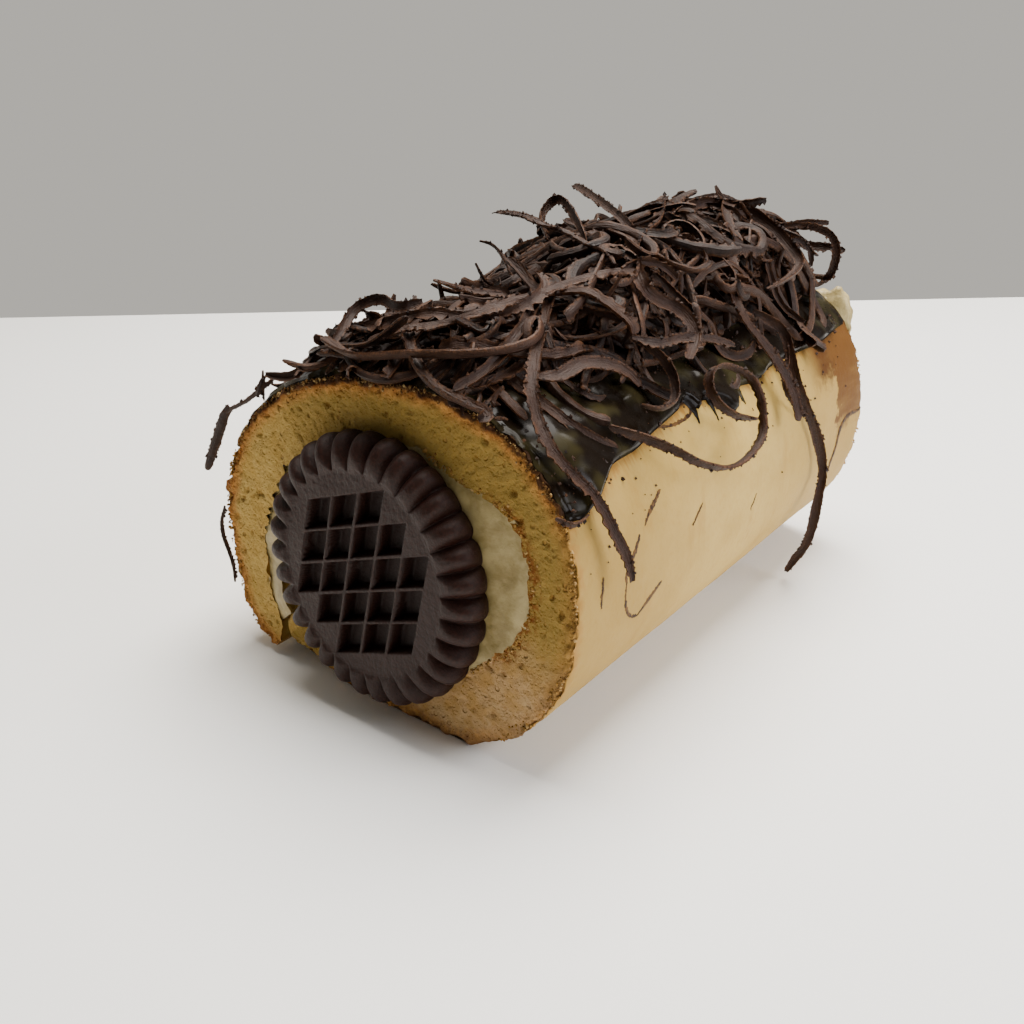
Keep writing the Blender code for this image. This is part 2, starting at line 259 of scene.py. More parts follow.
def at_angle(degrees, lift=0.0):
    """(x, z) at this angle, this far off the skin. The underside is flat."""
    radius = curve_through(OUTLINE, degrees, 360.0)
    x, z = np.cos(np.radians(degrees)), np.sin(np.radians(degrees))
    radius = np.minimum(radius, MIDDLE[1] / np.maximum(-z, 0.01))
    return np.stack([MIDDLE[0] + x * (radius + lift), MIDDLE[1] + z * (radius + lift)], axis=-1)


def inner_depth(turn):
    return outer_depth(turn) + curve_through(SHEET, turn)


def outer_depth(turn):
    """How far the sheet's outer surface lies below the roll's skin."""
    start, end = TAIL_RISE
    first = (SHEET[0][1] + FILLING[0][1]) * smooth((turn - start) / (end - start))
    if np.max(turn) < 360.0:
        return first
    earlier = np.maximum(turn - 360.0, 0.0)
    return np.where(turn < 360.0, first, inner_depth(earlier) + curve_through(FILLING, earlier))


def on_spiral(turn, depth):
    return at_angle(TAIL_ANGLE - turn, -depth)


heights = at_angle(np.arange(0.0, 360.0, 1.0))
print("roll is", np.round(np.ptp(heights, axis=0), 1), "mm wide and high")


# %% A rolled layer
def rolled_solid(section, stations):
    """A closed solid from a layer's section: rows of (x, z) points around the roll, columns
    through the layer. Rings of points at stations, from 0 to 1, join the two cut ends.
    Returns points, faces, how many faces are cut ends, and each point's (row, column), place."""
    rows, columns, _ = section.shape
    count = rows * columns
    grid = np.arange(count).reshape(rows, columns)
    border = np.concatenate([grid[:, 0], grid[-1, 1:-1], grid[::-1, -1], grid[0, -2:0:-1]])
    source = np.concatenate([np.arange(count)] + [border] * len(stations) + [np.arange(count)])
    place = np.concatenate([np.zeros(count), np.repeat(stations, len(border)), np.ones(count)])
    last = count + len(border) * len(stations)
    rings = [border, *[count + i * len(border) + np.arange(len(border))
                       for i in range(len(stations))], border + last]
    ends = np.concatenate([grid_faces(grid), grid_faces(grid + last)[:, ::-1]])
    faces = np.concatenate([ends, grid_faces(np.array(rings), closed=True)[:, ::-1]])
    x, z = section.reshape(-1, 2)[source].T
    y = end_at(z, -1) * (1.0 - place) + end_at(z, 1) * place
    return np.stack([x, y, z], axis=1), faces, len(ends), np.unravel_index(source, grid.shape), place


def evenly(start, end, cell):
    """Turns from start to end whose points are about this many mm apart, halfway into the sheet."""
    fine = np.arange(start, end + 0.01, 0.5)
    x, z = on_spiral(fine, (outer_depth(fine) + inner_depth(fine)) / 2.0).T
    length = np.concatenate([[0.0], np.cumsum(np.hypot(np.diff(x), np.diff(z)))])
    steps = np.linspace(0.0, length[-1], max(2, round(length[-1] / cell)))
    return np.interp(steps, length, fine)


FROM_END = np.array([0.4, 0.9, 1.6, 2.6, 4.0, 6.0, 9.0, 13.0, 18.0, 24.0, 30.0, 36.0, 42.0, 48.0, 54.0])
STATIONS = np.concatenate([FROM_END, [60.0], 120.0 - FROM_END[::-1]]) / 120.0
print("stations along the roll:", len(STATIONS))

# %% [markdown]
# ## The sponge
# A baked sheet has a smooth pale skin and a porous crumb. Where a knife cuts it, the cut shows
# pores of 0.5 to 2 mm, and the skin's edge is toasted and ragged. The cut ends are a fine grid
# whose points are pushed in at each pore, so that pores are real hollows, and points carry how
# far they lie below the skin, so that the toasting follows the crust.

# %% Crumb relief
FACE_CELL, INNER_CELL = 0.42, 0.8       # mm between points, outer turn and hidden inner turn
FACE_COLUMNS = 27
PORE_CELL = 1.7                         # mm between pores


def pores(along, deep, cell, seed):
    """How deep each point lies in a pore, from 0 to 1. Pores are longer along the sheet."""
    found = []
    for p in np.stack([along / cell / 1.35, deep / cell, np.full_like(deep, seed)], axis=1).tolist():
        distances, centres = noise.voronoi(p)
        radius = 0.52 * noise.cell(centres[0] * 7.3) - 0.06
        found.append((radius - distances[0]) / 0.12)
    return smooth(np.array(found))


def cut_relief(along, deep, seed):
    """Height of a cut through the crumb, in mm, and its pores, 0 to 1."""
    flat = np.stack([along, deep, np.full_like(deep, 40.0 * seed)], axis=1)
    hollow = np.maximum(pores(along, deep, PORE_CELL, seed),
                        0.45 * pores(along, deep, PORE_CELL * 0.7, seed + 3.0))
    lumps = 0.45 * bumps(flat, 7.0) + 0.30 * bumps(flat, 1.9, octaves=2)
    return lumps - 0.6 * hollow, hollow


# %% Sponge mesh
turn = np.concatenate([evenly(0.0, 360.0, FACE_CELL)[:-1], evenly(360.0, LAST_TURN, INNER_CELL)])
share = np.linspace(0.0, 1.0, FACE_COLUMNS)
outer, inner = outer_depth(turn)[:, None], inner_depth(turn)[:, None]
depth = outer + (inner - outer) * share
bulge = 2.0 * np.sin(math.pi * share) * smooth((turn[:, None] - LAST_TURN + 6.0) / 6.0)
section = on_spiral((turn[:, None] + bulge * 2.5).ravel(), depth.ravel()).reshape(*depth.shape, 2)
points, faces, end_faces, (row, column), place = rolled_solid(section, STATIONS)
turns_at, deep = turn[row], share[column] * (inner - outer)[row, 0]
left = (inner - outer)[row, 0] - deep
below = depth[row, column]
arc = np.concatenate([[0.0], np.cumsum(np.hypot(*np.diff(section[:, FACE_COLUMNS // 2], axis=0).T))])[row]
side = np.where(place < 0.5, -1.0, 1.0)
at_end = (place == 0.0) | (place == 1.0)
from_end = np.minimum(place, 1.0 - place) * ROLL_LENGTH
relief, hollow = cut_relief(arc, deep, side)
rim = np.minimum(deep, left)
relief *= 0.35 + 0.65 * smooth(rim / 1.2)
crusty = smooth((3.4 - deep) / 2.5) * (turns_at < 360.0)
relief += crusty * (0.9 * bumps(points, 2.6) + 0.6 * bumps(points, 1.1))
relief -= 0.5 * (1.0 - smooth(deep / 0.9)) * (1.0 + bumps(points, 3.0))
points[:, 1] += np.where(at_end, side * relief, 0.0)

outward = points[:, [0, 2]] - MIDDLE
outward /= np.linalg.norm(outward, axis=1)[:, None]
on_skin = (below < 0.01) & (turns_at < 360.0)
ragged = np.exp(-from_end / 1.5) * np.exp(-below / 1.5)
lumpy = 0.62 + 0.5 * smooth((110.0 - turns_at) / 60.0) * (turns_at < 110.0)
torn = ragged * lumpy * (bumps(points, 3.4) + 0.8 * bumps(points, 1.5)) - 0.3 * ragged
soft = np.where(on_skin, 0.22 * bumps(points, 17.0) + 0.08 * bumps(points, 6.0), 0.0)
move = np.where(points[:, 2] > 1.0, torn + soft * smooth(from_end / 4.0), 0.0)

# The knife has dragged crumb over the thin cream on the left of the near end.
dragged = smooth((158.0 - turns_at) / 20.0) * smooth((turns_at - 34.0) / 16.0)
reach = np.maximum(curve_through(FILLING, turns_at) * (0.5 + 1.4 * dragged) * smooth((158.0 - turns_at) / 20.0), 0.8)
over = np.where((place == 0.0) & (turns_at < 300.0), smooth(1.0 - left / 2.6), 0.0)
move -= over * reach * (0.6 + (1.0 - 0.6 * dragged) * (1.1 * bumps(points, 2.6, octaves=2) + 0.6 * bumps(points, 1.1)))
points[:, 1] -= over * (0.45 + 0.5 * dragged) * smooth((158.0 - turns_at) / 20.0)
points[:, 1] += np.where((place == 0.0) & (turns_at > 364.0), 0.9, 0.0)      # pressed in behind the biscuit
points[:, 0] += outward[:, 0] * move
points[:, 2] = np.maximum(points[:, 2] + outward[:, 1] * move, 0.0)
print("pores cover", f"{np.mean(hollow[at_end] > 0.3):.0%}", "of the cut ends")

# %% [markdown]
# ## Crumb and skin finishes
# Crumb is a matte, warm yellow foam of egg, sugar and flour. Its darker specks are painted shade
# in its pores. Its outer turn is darkened with painted shade from the top round the right side,
# and its brown edge is from the oven. The skin was against the baking paper: smooth, pale and
# slightly satin, browned only near its cut edges and where glaze has soaked in, and darkened
# with painted shade towards both ends.

# %% Crumb material
crumb, tree, shader = new_material("sponge crumb", Roughness=0.92, Specular_IOR_Level=0.2)
here = add(tree, "TexCoord", {}, "Object")
fine, grit, web, patches, clusters = (
    add(tree, "TexNoise", {"Vector": here, "Scale": 1.0 / (size * MM), "Detail": detail, "Roughness": 0.68})
    for size, detail in ((0.7, 4.0), (1.3, 4.0), (2.6, 4.0), (7.0, 2.0), (4.5, 2.0)))
painted_top_shade, moist, pore, below_skin, toasting, above_cream, browned, soaked, smeared = (
    add(tree, "Attribute", {}, "Fac", attribute_name=name)
    for name in ("painted_top_shade", "moist", "pore", "below_skin", "toasting", "above_cream", "browned_inside", "soaked", "smeared"))

# Holes finer than the mesh: cells of 1.5 mm and 0.8 mm, open only where the dough had more gas.
coarse_cell, fine_cell = (add(tree, "TexVoronoi", {"Vector": here, "Scale": 1.0 / (size * MM)}, "Distance")
                          for size in (1.5, 0.8))
coarse_hole, fine_hole, gassy = (
    add(tree, "MapRange", {0: value, 1: a, 2: b}, **EASED)
    for value, a, b in ((coarse_cell, 0.42, 0.2), (fine_cell, 0.45, 0.22), (clusters, 0.52, 0.64)))
hole = add(tree, "Math", {0: add(tree, "Math", {0: coarse_hole, 1: gassy}, **TIMES),
                          1: add(tree, "Math", {0: fine_hole, 1: 0.3}, **TIMES)}, operation="MAXIMUM")

# The oven's brown wanders in and out of the crust by a few mm.
wander = add(tree, "Math", {0: web, 1: 4.4}, **TIMES)
near_skin = add(tree, "Math", {0: below_skin, 1: wander}, **MINUS)
near_cream = add(tree, "Math", {0: above_cream, 1: wander}, **MINUS)
dry, dusty, mixed, pore_painted_shade, hole_painted_shade, toast, burnt, inside, speckled, wet, crusted, streaked = (
    add(tree, "MapRange", {0: value, 1: a, 2: b, 3: c, 4: d}, **EASED)
    for value, a, b, c, d in (
        (patches, 0.35, 0.7, 0, 1), (fine, 0.3, 0.75, 0, 0.45), (clusters, 0.38, 0.62, 0, 1), (pore, 0.15, 0.9, 0, 0.38),
        (hole, 0.1, 0.9, 0, 0.36), (near_skin, 2.6, -1.2, 0, 1), (near_skin, -0.6, -2.6, 0, 0.85),
        (near_cream, 0.8, -1.6, 0, 0.95), (grit, 0.42, 0.56, 0, 1), (near_skin, -0.1, -1.5, 0, 0.92),
        (grit, 0.36, 0.6, 0, 1), (clusters, 0.3, 0.7, 0.25, 0.9)))
crust = add(tree, "Mix", {0: crusted, 6: "#8A5020", 7: "#C28A46"}, **COLOURS)
damp = add(tree, "Mix", {0: mixed, 6: "#B18A53", 7: "#BF9B6C"}, **COLOURS)
colour = add(tree, "Mix", {0: dry, 6: "#C9A960", 7: "#BE9B51"}, **COLOURS)
# Painted shade: the crumb is darker in its pores and fine holes, and on the outer turn from the top of the cut end
# round the right side.
for share, limit, tint in (
        (painted_top_shade, None, "#8F7638"), (dusty, None, "#967034"), (hole_painted_shade, None, "#7E4E18"), (moist, None, damp),
        (smeared, streaked, "#C8A87C"), (pore_painted_shade, None, "#7E4E18"), (toast, toasting, crust),
        (burnt, toasting, "#6F3D16"), (add(tree, "Math", {0: inside, 1: speckled}, **TIMES), browned, "#7A4718"),
        (wet, soaked, "#341D0D")):
    if limit:
        share = add(tree, "Math", {0: share, 1: limit}, **TIMES)
    colour = add(tree, "Mix", {0: share, 6: colour, 7: tint}, **COLOURS)
tree.links.new(colour, shader.inputs["Base Color"])
raised = add(tree, "Math", {0: fine, 1: hole}, **MINUS)
tree.links.new(add(tree, "Bump", {"Height": raised, "Distance": 0.45 * MM}), shader.inputs["Normal"])
print("crumb finish:", len(tree.nodes), "nodes")

# %% Skin material
skin, tree, shader = new_material("baked skin", Roughness=0.55, Specular_IOR_Level=0.07)
here = add(tree, "TexCoord", {}, "Object")
x, y, z = (add(tree, "SeparateXYZ", {0: here}, axis) for axis in "XYZ")
from_end_, below_glaze = (add(tree, "Attribute", {}, "Fac", attribute_name=name) for name in ("from_end", "below_glaze"))
drawn_out = add(tree, "Mapping", {"Vector": here, "Scale": (1.0, 0.25, 1.0)})
run_down = add(tree, "Mapping", {"Vector": here, "Scale": (1.0, 1.0, 0.3)})
brush = add(tree, "Mapping", {"Vector": here, "Scale": (0.2, 1.0, 0.12)})
patches, fine, lumps, streaks, runs, bristles = (
    add(tree, "TexNoise", {"Vector": where, "Scale": 1.0 / (size * MM), "Detail": 3.0, "Roughness": 0.6})
    for where, size in ((here, 16.0), (here, 1.1), (here, 2.5), (drawn_out, 5.0), (run_down, 6.0), (brush, 1.0)))
brushed = add(tree, "Math", {0: below_glaze, 1: add(tree, "Math", {0: bristles, 1: 7.0}, **TIMES)}, **MINUS)
worn = add(tree, "Math", {0: from_end_, 1: add(tree, "Math", {0: lumps, 1: 5.0}, **TIMES)}, **MINUS)

# Glaze has run down at the far end and soaked in: a patch with a nearly upright front edge.
STAIN_FROM, STAIN_LEAN, STAIN_LOW = 42.1, 0.14, 35.4        # mm along the roll, its lean, and mm above the table
uneven = add(tree, "Math", {0: add(tree, "Math", {0: lumps, 1: 0.5}, **MINUS), 1: 9.0 * MM}, **TIMES)
leaning = add(tree, "Math", {0: add(tree, "Math", {0: y, 1: add(tree, "Math", {0: z, 1: STAIN_LEAN}, **TIMES)}, **MINUS),
                             1: uneven})
bottom = add(tree, "Math", {0: z, 1: uneven})
pale, toned, end_painted_shade, tinted, edged, covered, past, above, right, blotchy, run, high, late = (
    add(tree, "MapRange", {0: value, 1: a, 2: b, 3: c, 4: d}, **EASED)
    for value, a, b, c, d in (
        (patches, 0.35, 0.68, 0, 1), (fine, 0.45, 0.8, 0, 0.25), (from_end_, 62.0, 4.0, 0, 0.5),
        (brushed, -1.2, -4.2, 0, 0.75), (worn, 0.2, -2.4, 0, 0.55), (below_glaze, 0.0, -1.0, 0, 0.95),
        (leaning, STAIN_FROM * MM, (STAIN_FROM + 1.2) * MM, 0, 1), (bottom, (STAIN_LOW - 3.0) * MM, (STAIN_LOW + 1.5) * MM, 0, 1),
        (x, 0.0, 10.0 * MM, 0, 1), (streaks, 0.25, 0.65, 0.75, 1.0), (runs, 0.56, 0.72, 0, 0.35),
        (bottom, 44.0 * MM, 49.0 * MM, 0, 1), (y, 35.0 * MM, 45.0 * MM, 0, 1)))
stain, smudge = (add(tree, "Math", {0: add(tree, "Math", {0: a, 1: b}, **TIMES),
                                    1: add(tree, "Math", {0: c, 1: d}, **TIMES)}, **TIMES)
                 for a, b, c, d in ((past, above, right, blotchy), (high, late, right, blotchy)))
colour = add(tree, "Mix", {0: pale, 6: "#BA9C58", 7: "#AE904D"}, **COLOURS)
# Painted shade: the skin grows darker from the middle of the roll towards both ends.
for share, tint in ((toned, "#A67A32"), (end_painted_shade, "#8A6B34"), (run, "#9A7434"), (tinted, "#8A5C24"), (edged, "#9A6A30"),
                    (smudge, "#4E3014"), (stain, "#5E3D1A"), (covered, "#25130A")):
    colour = add(tree, "Mix", {0: share, 6: colour, 7: tint}, **COLOURS)
tree.links.new(colour, shader.inputs["Base Color"])
tree.links.new(add(tree, "Bump", {"Height": fine, "Distance": 0.08 * MM}), shader.inputs["Normal"])
print("skin finish:", len(tree.nodes), "nodes")

# %% Put the sponge together
GLAZE_RIGHT = (                 # (y in mm, angle of the glaze's right edge)
    (-58, 22), (-54, 22.5), (-50, 21.5), (-46, 22.5), (-42, 25), (-37, 28), (-29, 28.3), (-22, 29.7),
    (-12, 31.2), (-8, 32.7), (-6, 29), (-4, 30.5), (1, 28), (5, 23.7), (9, 28.5), (17, 27.6),
    (25, 29), (37, 28.6), (49, 27.8), (60, 29),
)
GLAZE_LEFT = ((-60, 158), (-52, 166), (-44, 153), (-20, 158), (0, 150), (20, 160), (45, 152), (62, 158))
angles_at = TAIL_ANGLE - turns_at
gap_right = np.radians(curve_through(GLAZE_RIGHT, points[:, 1]) - angles_at) * 44.0
gap_left = np.radians(angles_at - curve_through(GLAZE_LEFT, points[:, 1])) * 44.0
values = {
    "pore": hollow, "below_skin": below, "above_cream": left,
    "toasting": np.where(turns_at < 360.0, 1.0 - 0.7 * smooth((turns_at - 196.0) / 14.0)
                         + 0.35 * smooth((turns_at - 262.0) / 15.0), 0.0),
    # painted shade: the outer turn is darker from the top of the cut end round the right side
    "painted_top_shade": 0.85 * smooth((turns_at - 62.0) / 45.0) * (turns_at < 360.0),
    "browned_inside": smooth((turns_at - 185.0) / 12.0) * smooth((262.0 - turns_at) / 20.0),
    "moist": 0.9 * smooth((turns_at - 228.0) / 24.0) * smooth((318.0 - turns_at) / 25.0),
    "smeared": 0.8 * smooth((turns_at - 240.0) / 16.0) * smooth((300.0 - turns_at) / 25.0) * smooth((9.0 - below) / 6.0),
    "soaked": smooth((turns_at - 62.0) / 14.0) * smooth((206.0 - turns_at) / 10.0),
    "below_glaze": np.maximum(gap_right, gap_left), "from_end": from_end,
}
which = np.concatenate([np.zeros(end_faces), np.ones(len(faces) - end_faces)])
make_piece("rolled_sponge", points, faces, [crumb, skin], "sponge", ["sponge"], which, values)

# %% [markdown]
# ## The cream
# Whipped cream is a soft white to ivory foam with a satin surface, spread with a palette knife.
# It follows the sheet inside the roll, and bulges a little where the cut lets it.

# %% Cream material
cream_paint, tree, shader = new_material("whipped cream", Roughness=0.42, Specular_IOR_Level=0.3)
here = add(tree, "TexCoord", {}, "Object")
swirl, grain = (add(tree, "TexNoise", {"Vector": here, "Scale": 1.0 / (size * MM), "Detail": 3.0, "Roughness": 0.6})
                for size in (5.0, 1.4))
yellow = add(tree, "MapRange", {0: swirl, 1: 0.35, 2: 0.7}, **EASED)
tree.links.new(add(tree, "Mix", {0: yellow, 6: "#AE9C6C", 7: "#877545"}, **COLOURS), shader.inputs["Base Color"])
tree.links.new(add(tree, "Bump", {"Height": grain, "Distance": 0.25 * MM}), shader.inputs["Normal"])
print("cream finish:", len(tree.nodes), "nodes")

# %% Cream mesh
CREAM_COLUMNS = 15
turn = evenly(CREAM_START, LAST_TURN, 0.7)
share = np.linspace(0.0, 1.0, CREAM_COLUMNS)
near_side = (inner_depth(turn) - 0.8)[:, None]        # a little under the crumb, so there is no gap
radius = curve_through(OUTLINE, TAIL_ANGLE - turn, 360.0)
radius = np.minimum(radius, MIDDLE[1] / np.maximum(-np.sin(np.radians(TAIL_ANGLE - turn)), 0.01))
far_side = np.where(turn < LAST_TURN - 360.0, outer_depth(turn + 360.0) - 0.1, radius - 0.3)[:, None]
depth = near_side + (far_side - near_side) * share
section = on_spiral(np.repeat(turn, CREAM_COLUMNS), depth.ravel()).reshape(*depth.shape, 2)
points, faces, _, (row, column), place = rolled_solid(section, np.linspace(0.0, 1.0, 9)[1:-1])
wide = (far_side - near_side)[row, 0]
first = turn[row] < LAST_TURN - 360.0       # cream under the outermost turn of sponge
dome = np.where(first, smooth(2.2 * share[column]), np.sin(math.pi * share[column]) ** 0.7)
dome *= smooth(wide / 4.0) * np.where(turn[row] < 300.0, 1.0, 0.3)
at_end = (place == 0.0) | (place == 1.0)
relief = 0.9 * dome * (0.6 + 0.8 * bumps(points, 7.0)) + 0.16 * bumps(points, 2.6, octaves=2) - 0.2
relief -= 0.7 * (place == 0.0) * smooth((turn[row] - 34.0) / 16.0) * smooth((158.0 - turn[row]) / 20.0)
points[:, 1] += np.where(at_end, np.sign(place - 0.5) * relief, 0.0)

# Pressing the biscuit on has spread the cream over the inner turn behind it.
inward = MIDDLE - points[:, [0, 2]]
inward /= np.linalg.norm(inward, axis=1)[:, None]
spread = np.where((place == 0.0) & first, 4.5 * smooth(2.0 * share[column] - 1.0) * smooth((LAST_TURN - 366.0 - turn[row]) / 12.0), 0.0)
points[:, [0, 2]] += inward * spread[:, None]
points[:, 1] -= 0.25 * spread

# A dab that has been squeezed out over the far end, near the right shoulder.
DAB_TURN, DAB_DEPTH, DAB_OUT = 192.5, 3.4, 1.4      # where it sits, and mm beyond the far end
DAB_RADII = (5.0, 3.0, 6.6)                         # along the roll's radius, along the roll, around the roll
DAB_RINGS, DAB_SPOKES = 24, 36
up, round_ = np.meshgrid(np.linspace(0.0, math.pi, DAB_RINGS), np.linspace(0.0, 2 * math.pi, DAB_SPOKES + 1)[:-1],
                         indexing="ij")
ball = np.stack([np.cos(up), np.sin(up) * np.cos(round_), np.sin(up) * np.sin(round_)], axis=-1).reshape(-1, 3)
ball *= 1.0 + 0.3 * bumps(ball, 0.8, octaves=3, seed=4.0)[:, None]
ball[:, 1] += 0.4 * ball[:, 0]
ball[:, 2] *= 1.0 + 0.2 * ball[:, 0]
tilt = Matrix.Rotation(math.radians(-END_LEANS[1]), 3, "X") @ Matrix.Rotation(
    math.radians(DAB_TURN - TAIL_ANGLE), 3, "Y")
dab_x, dab_z = on_spiral(np.array([DAB_TURN]), np.array([DAB_DEPTH]))[0]
ball = (ball * DAB_RADII) @ np.array(tilt).T + (dab_x, float(end_at(dab_z, 1)) + DAB_OUT, dab_z)
dab_faces = grid_faces(np.arange(len(ball)).reshape(DAB_RINGS, DAB_SPOKES), closed=True) + len(points)
make_piece("cream_filling", np.concatenate([points, ball]), np.concatenate([faces, dab_faces]),
           [cream_paint], "cream", ["cream"])

# %% [markdown]
# ## The biscuit
# A dark cocoa biscuit is stamped from dough by a moulding roller, so its rim is fluted and its
# face has rows of rhombic wells with thin ribs between. It bakes hard and matte, with a fine,
# sandy grain. A polar grid with a height at each point gives the rim, the wells and the grain
# in one sheet, and the smooth slope of a well's wall is what moulded dough has.

# %% Biscuit material
biscuit_paint, tree, shader = new_material("cocoa biscuit", Roughness=0.5, Specular_IOR_Level=0.24)
here = add(tree, "TexCoord", {}, "Object")
grain = add(tree, "TexNoise", {"Vector": here, "Scale": 1.0 / (0.5 * MM), "Detail": 4.0, "Roughness": 0.65})
sandy = add(tree, "MapRange", {0: grain, 1: 0.35, 2: 0.75}, **EASED)
# Painted shade: the biscuit is darker inside its wells.
painted_well_shade = add(tree, "MapRange", {0: add(tree, "Attribute", {}, "Fac", attribute_name="hollow"), 1: 0.1, 2: 1.0, 4: 0.6},
              **EASED)
colour = add(tree, "Mix", {0: sandy, 6: "#200D07", 7: "#31160D"}, **COLOURS)
colour = add(tree, "Mix", {0: painted_well_shade, 6: colour, 7: "#1A0B07"}, **COLOURS)
tree.links.new(colour, shader.inputs["Base Color"])
tree.links.new(add(tree, "Bump", {"Height": grain, "Distance": 0.13 * MM}), shader.inputs["Normal"])
print("biscuit finish:", len(tree.nodes), "nodes")

# %% Biscuit mesh
BISCUIT_MIDDLE = (1.0, 30.6)    # (x, z) on the near end, in mm
BISCUIT_PROFILE = (             # (radius, height above its back, depth of a flute), in mm
    (25.2, 0.0, 0.6), (26.6, 0.8, 1.2), (27.1, 2.4, 1.6), (27.0, 3.9, 1.9), (26.4, 5.3, 2.1),
    (25.0, 6.5, 2.1), (23.2, 7.15, 1.8), (21.4, 7.1, 1.0), (20.4, 6.75, 0.2), (19.7, 6.6, 0.0),
)
FLUTES, STEPS_PER_FLUTE = 31, 20
WELL_PITCH, WELL_SIDE, WELL_DEPTH, WELL_RINGS = 7.25, 6.35, 3.0, 2
WELL_SLOPE = 0.45               # width of a well's sloping wall, in mm
WELL_DIRECTIONS = np.radians((19.5, -100.5))    # along a row, and from row to row

steps = np.linspace(0.0, len(BISCUIT_PROFILE) - 1.0, 46)
radius, height, groove = (curve_through([(i, ring[k]) for i, ring in enumerate(BISCUIT_PROFILE)], steps)
                          for k in range(3))
plateau = np.arange(BISCUIT_PROFILE[-1][0] - 0.25, 0.05, -0.25)
flat = np.zeros_like(plateau)
radius = np.concatenate([[0.05], radius, plateau])[:, None]
height = np.concatenate([[0.0], height, flat + BISCUIT_PROFILE[-1][1]])[:, None]
groove = np.concatenate([[0.0], groove, flat])[:, None]
angle = np.linspace(0.0, 2 * math.pi, FLUTES * STEPS_PER_FLUTE + 1)[:-1]
valley = (1.0 - np.abs(np.cos(angle * FLUTES / 2.0))) ** 1.25
spread = radius - groove * valley
disc = np.stack([spread * np.cos(angle), spread * np.sin(angle),
                 height - 0.62 * groove * valley], axis=-1).reshape(-1, 3)

basis = np.stack([np.cos(WELL_DIRECTIONS), np.sin(WELL_DIRECTIONS)]) * WELL_PITCH
cell = disc[:, :2] @ np.linalg.inv(basis).T
nearest = np.round(cell)
inside = WELL_SIDE / 2.0 - np.abs(cell - nearest).max(axis=1) * WELL_PITCH
in_lattice = (np.abs(nearest).max(axis=1) <= WELL_RINGS) & (np.abs(nearest[:, 0] - nearest[:, 1]) <= WELL_RINGS)
on_face = np.repeat(np.arange(len(radius)) > 1, len(angle)) & (disc[:, 2] > 3.0)
well = smooth((inside * math.sin(math.radians(60.0)) + 0.1) / WELL_SLOPE) * in_lattice * on_face
disc[:, 2] -= WELL_DEPTH * well
grain = bumps(disc, 1.1, octaves=3)
disc[:, 2] += on_face * (0.07 * grain + 0.16 * bumps(disc, 9.0)) * (1.0 - 0.6 * well)
disc[:, :2] *= (1.0 + 0.0025 * bumps(disc, 1.8, octaves=2) + 0.002 * bumps(disc, 8.0))[:, None]

lean = Matrix.Rotation(math.radians(90.0 - END_LEANS[0]), 3, "X")
back = (BISCUIT_MIDDLE[0], float(end_at(BISCUIT_MIDDLE[1], -1)) - 0.3, BISCUIT_MIDDLE[1])
disc = disc @ np.array(lean).T + back
index = np.arange(len(disc)).reshape(len(radius), len(angle))
make_piece("chocolate_biscuit", disc, grid_faces(index, closed=True), [biscuit_paint], "biscuit",
           ["biscuit"], values={"hollow": well})

# %% [markdown]
# ## The glaze
# Warm chocolate glaze is poured along the top, runs down both shoulders and sets in rounded
# edges and drips. It stays glossy and nearly black. It is a grid laid over the skin between its
# two edges, thick in the middle and rounded off at the rim like any liquid that has stopped.

# %% Glaze material
glaze_paint, tree, shader = new_material("chocolate glaze", Roughness=0.2, Specular_IOR_Level=0.07)
here = add(tree, "TexCoord", {}, "Object")
flow, film = (add(tree, "TexNoise", {"Vector": here, "Scale": 1.0 / (size * MM), "Detail": detail, "Roughness": 0.5})
              for size, detail in ((6.0, 1.5), (3.5, 1.0)))
thin = add(tree, "MapRange", {0: flow, 1: 0.45, 2: 0.72}, **EASED)
dull = add(tree, "MapRange", {0: film, 1: 0.35, 2: 0.7, 3: 0.14, 4: 0.34}, **EASED)
tree.links.new(add(tree, "Mix", {0: thin, 6: "#120C07", 7: "#2E2917"}, **COLOURS), shader.inputs["Base Color"])
tree.links.new(dull, shader.inputs["Roughness"])
tree.links.new(add(tree, "Bump", {"Height": film, "Distance": 0.16 * MM}), shader.inputs["Normal"])
print("glaze finish:", len(tree.nodes), "nodes")

# %% Glaze mesh
GLAZE_CELL, GLAZE_THICK, GLAZE_ROUND = 0.8, 1.5, 1.9        # mm


def laid_on_roll(degrees, y_share, lift, overhang=0.0):
    """Points at these angles, from the near end (0) to the far end (1), off the skin by lift."""
    x, z = at_angle(degrees.ravel(), lift.ravel()).T
    skin_z = at_angle(degrees.ravel())[:, 1]
    near, far_ = end_at(skin_z, -1) - overhang, end_at(skin_z, 1) + overhang
    y = near + (far_ - near) * y_share.ravel()
    return np.stack([x, y, z], axis=1)


share_y = np.linspace(0.0, 1.0, round(ROLL_LENGTH / GLAZE_CELL))
share_x = np.linspace(0.0, 1.0, 124)
y_there = -54.0 + 118.0 * share_y
right, left_ = curve_through(GLAZE_RIGHT, y_there), curve_through(GLAZE_LEFT, y_there)
degrees = right[:, None] + (left_ - right)[:, None] * share_x
along_y = np.repeat(share_y[:, None], len(share_x), axis=1)
to_side = np.minimum(share_x, 1.0 - share_x) * (left_ - right)[:, None] * math.radians(1.0) * 42.0
to_end = np.minimum(share_y, 1.0 - share_y)[:, None] * ROLL_LENGTH
to_rim = np.minimum(to_side, to_end * 1.6)
rounded = np.sqrt(np.clip(1.0 - (1.0 - np.clip(to_rim / GLAZE_ROUND, 0.0, 1.0)) ** 2, 0.0, 1.0))
base = laid_on_roll(degrees, along_y, degrees * 0.0)
waves = 0.9 * bumps(base, 9.0) + 0.5 * bumps(base, 4.2)
thick = GLAZE_THICK * (0.45 + 0.55 * smooth(to_end / 9.0))
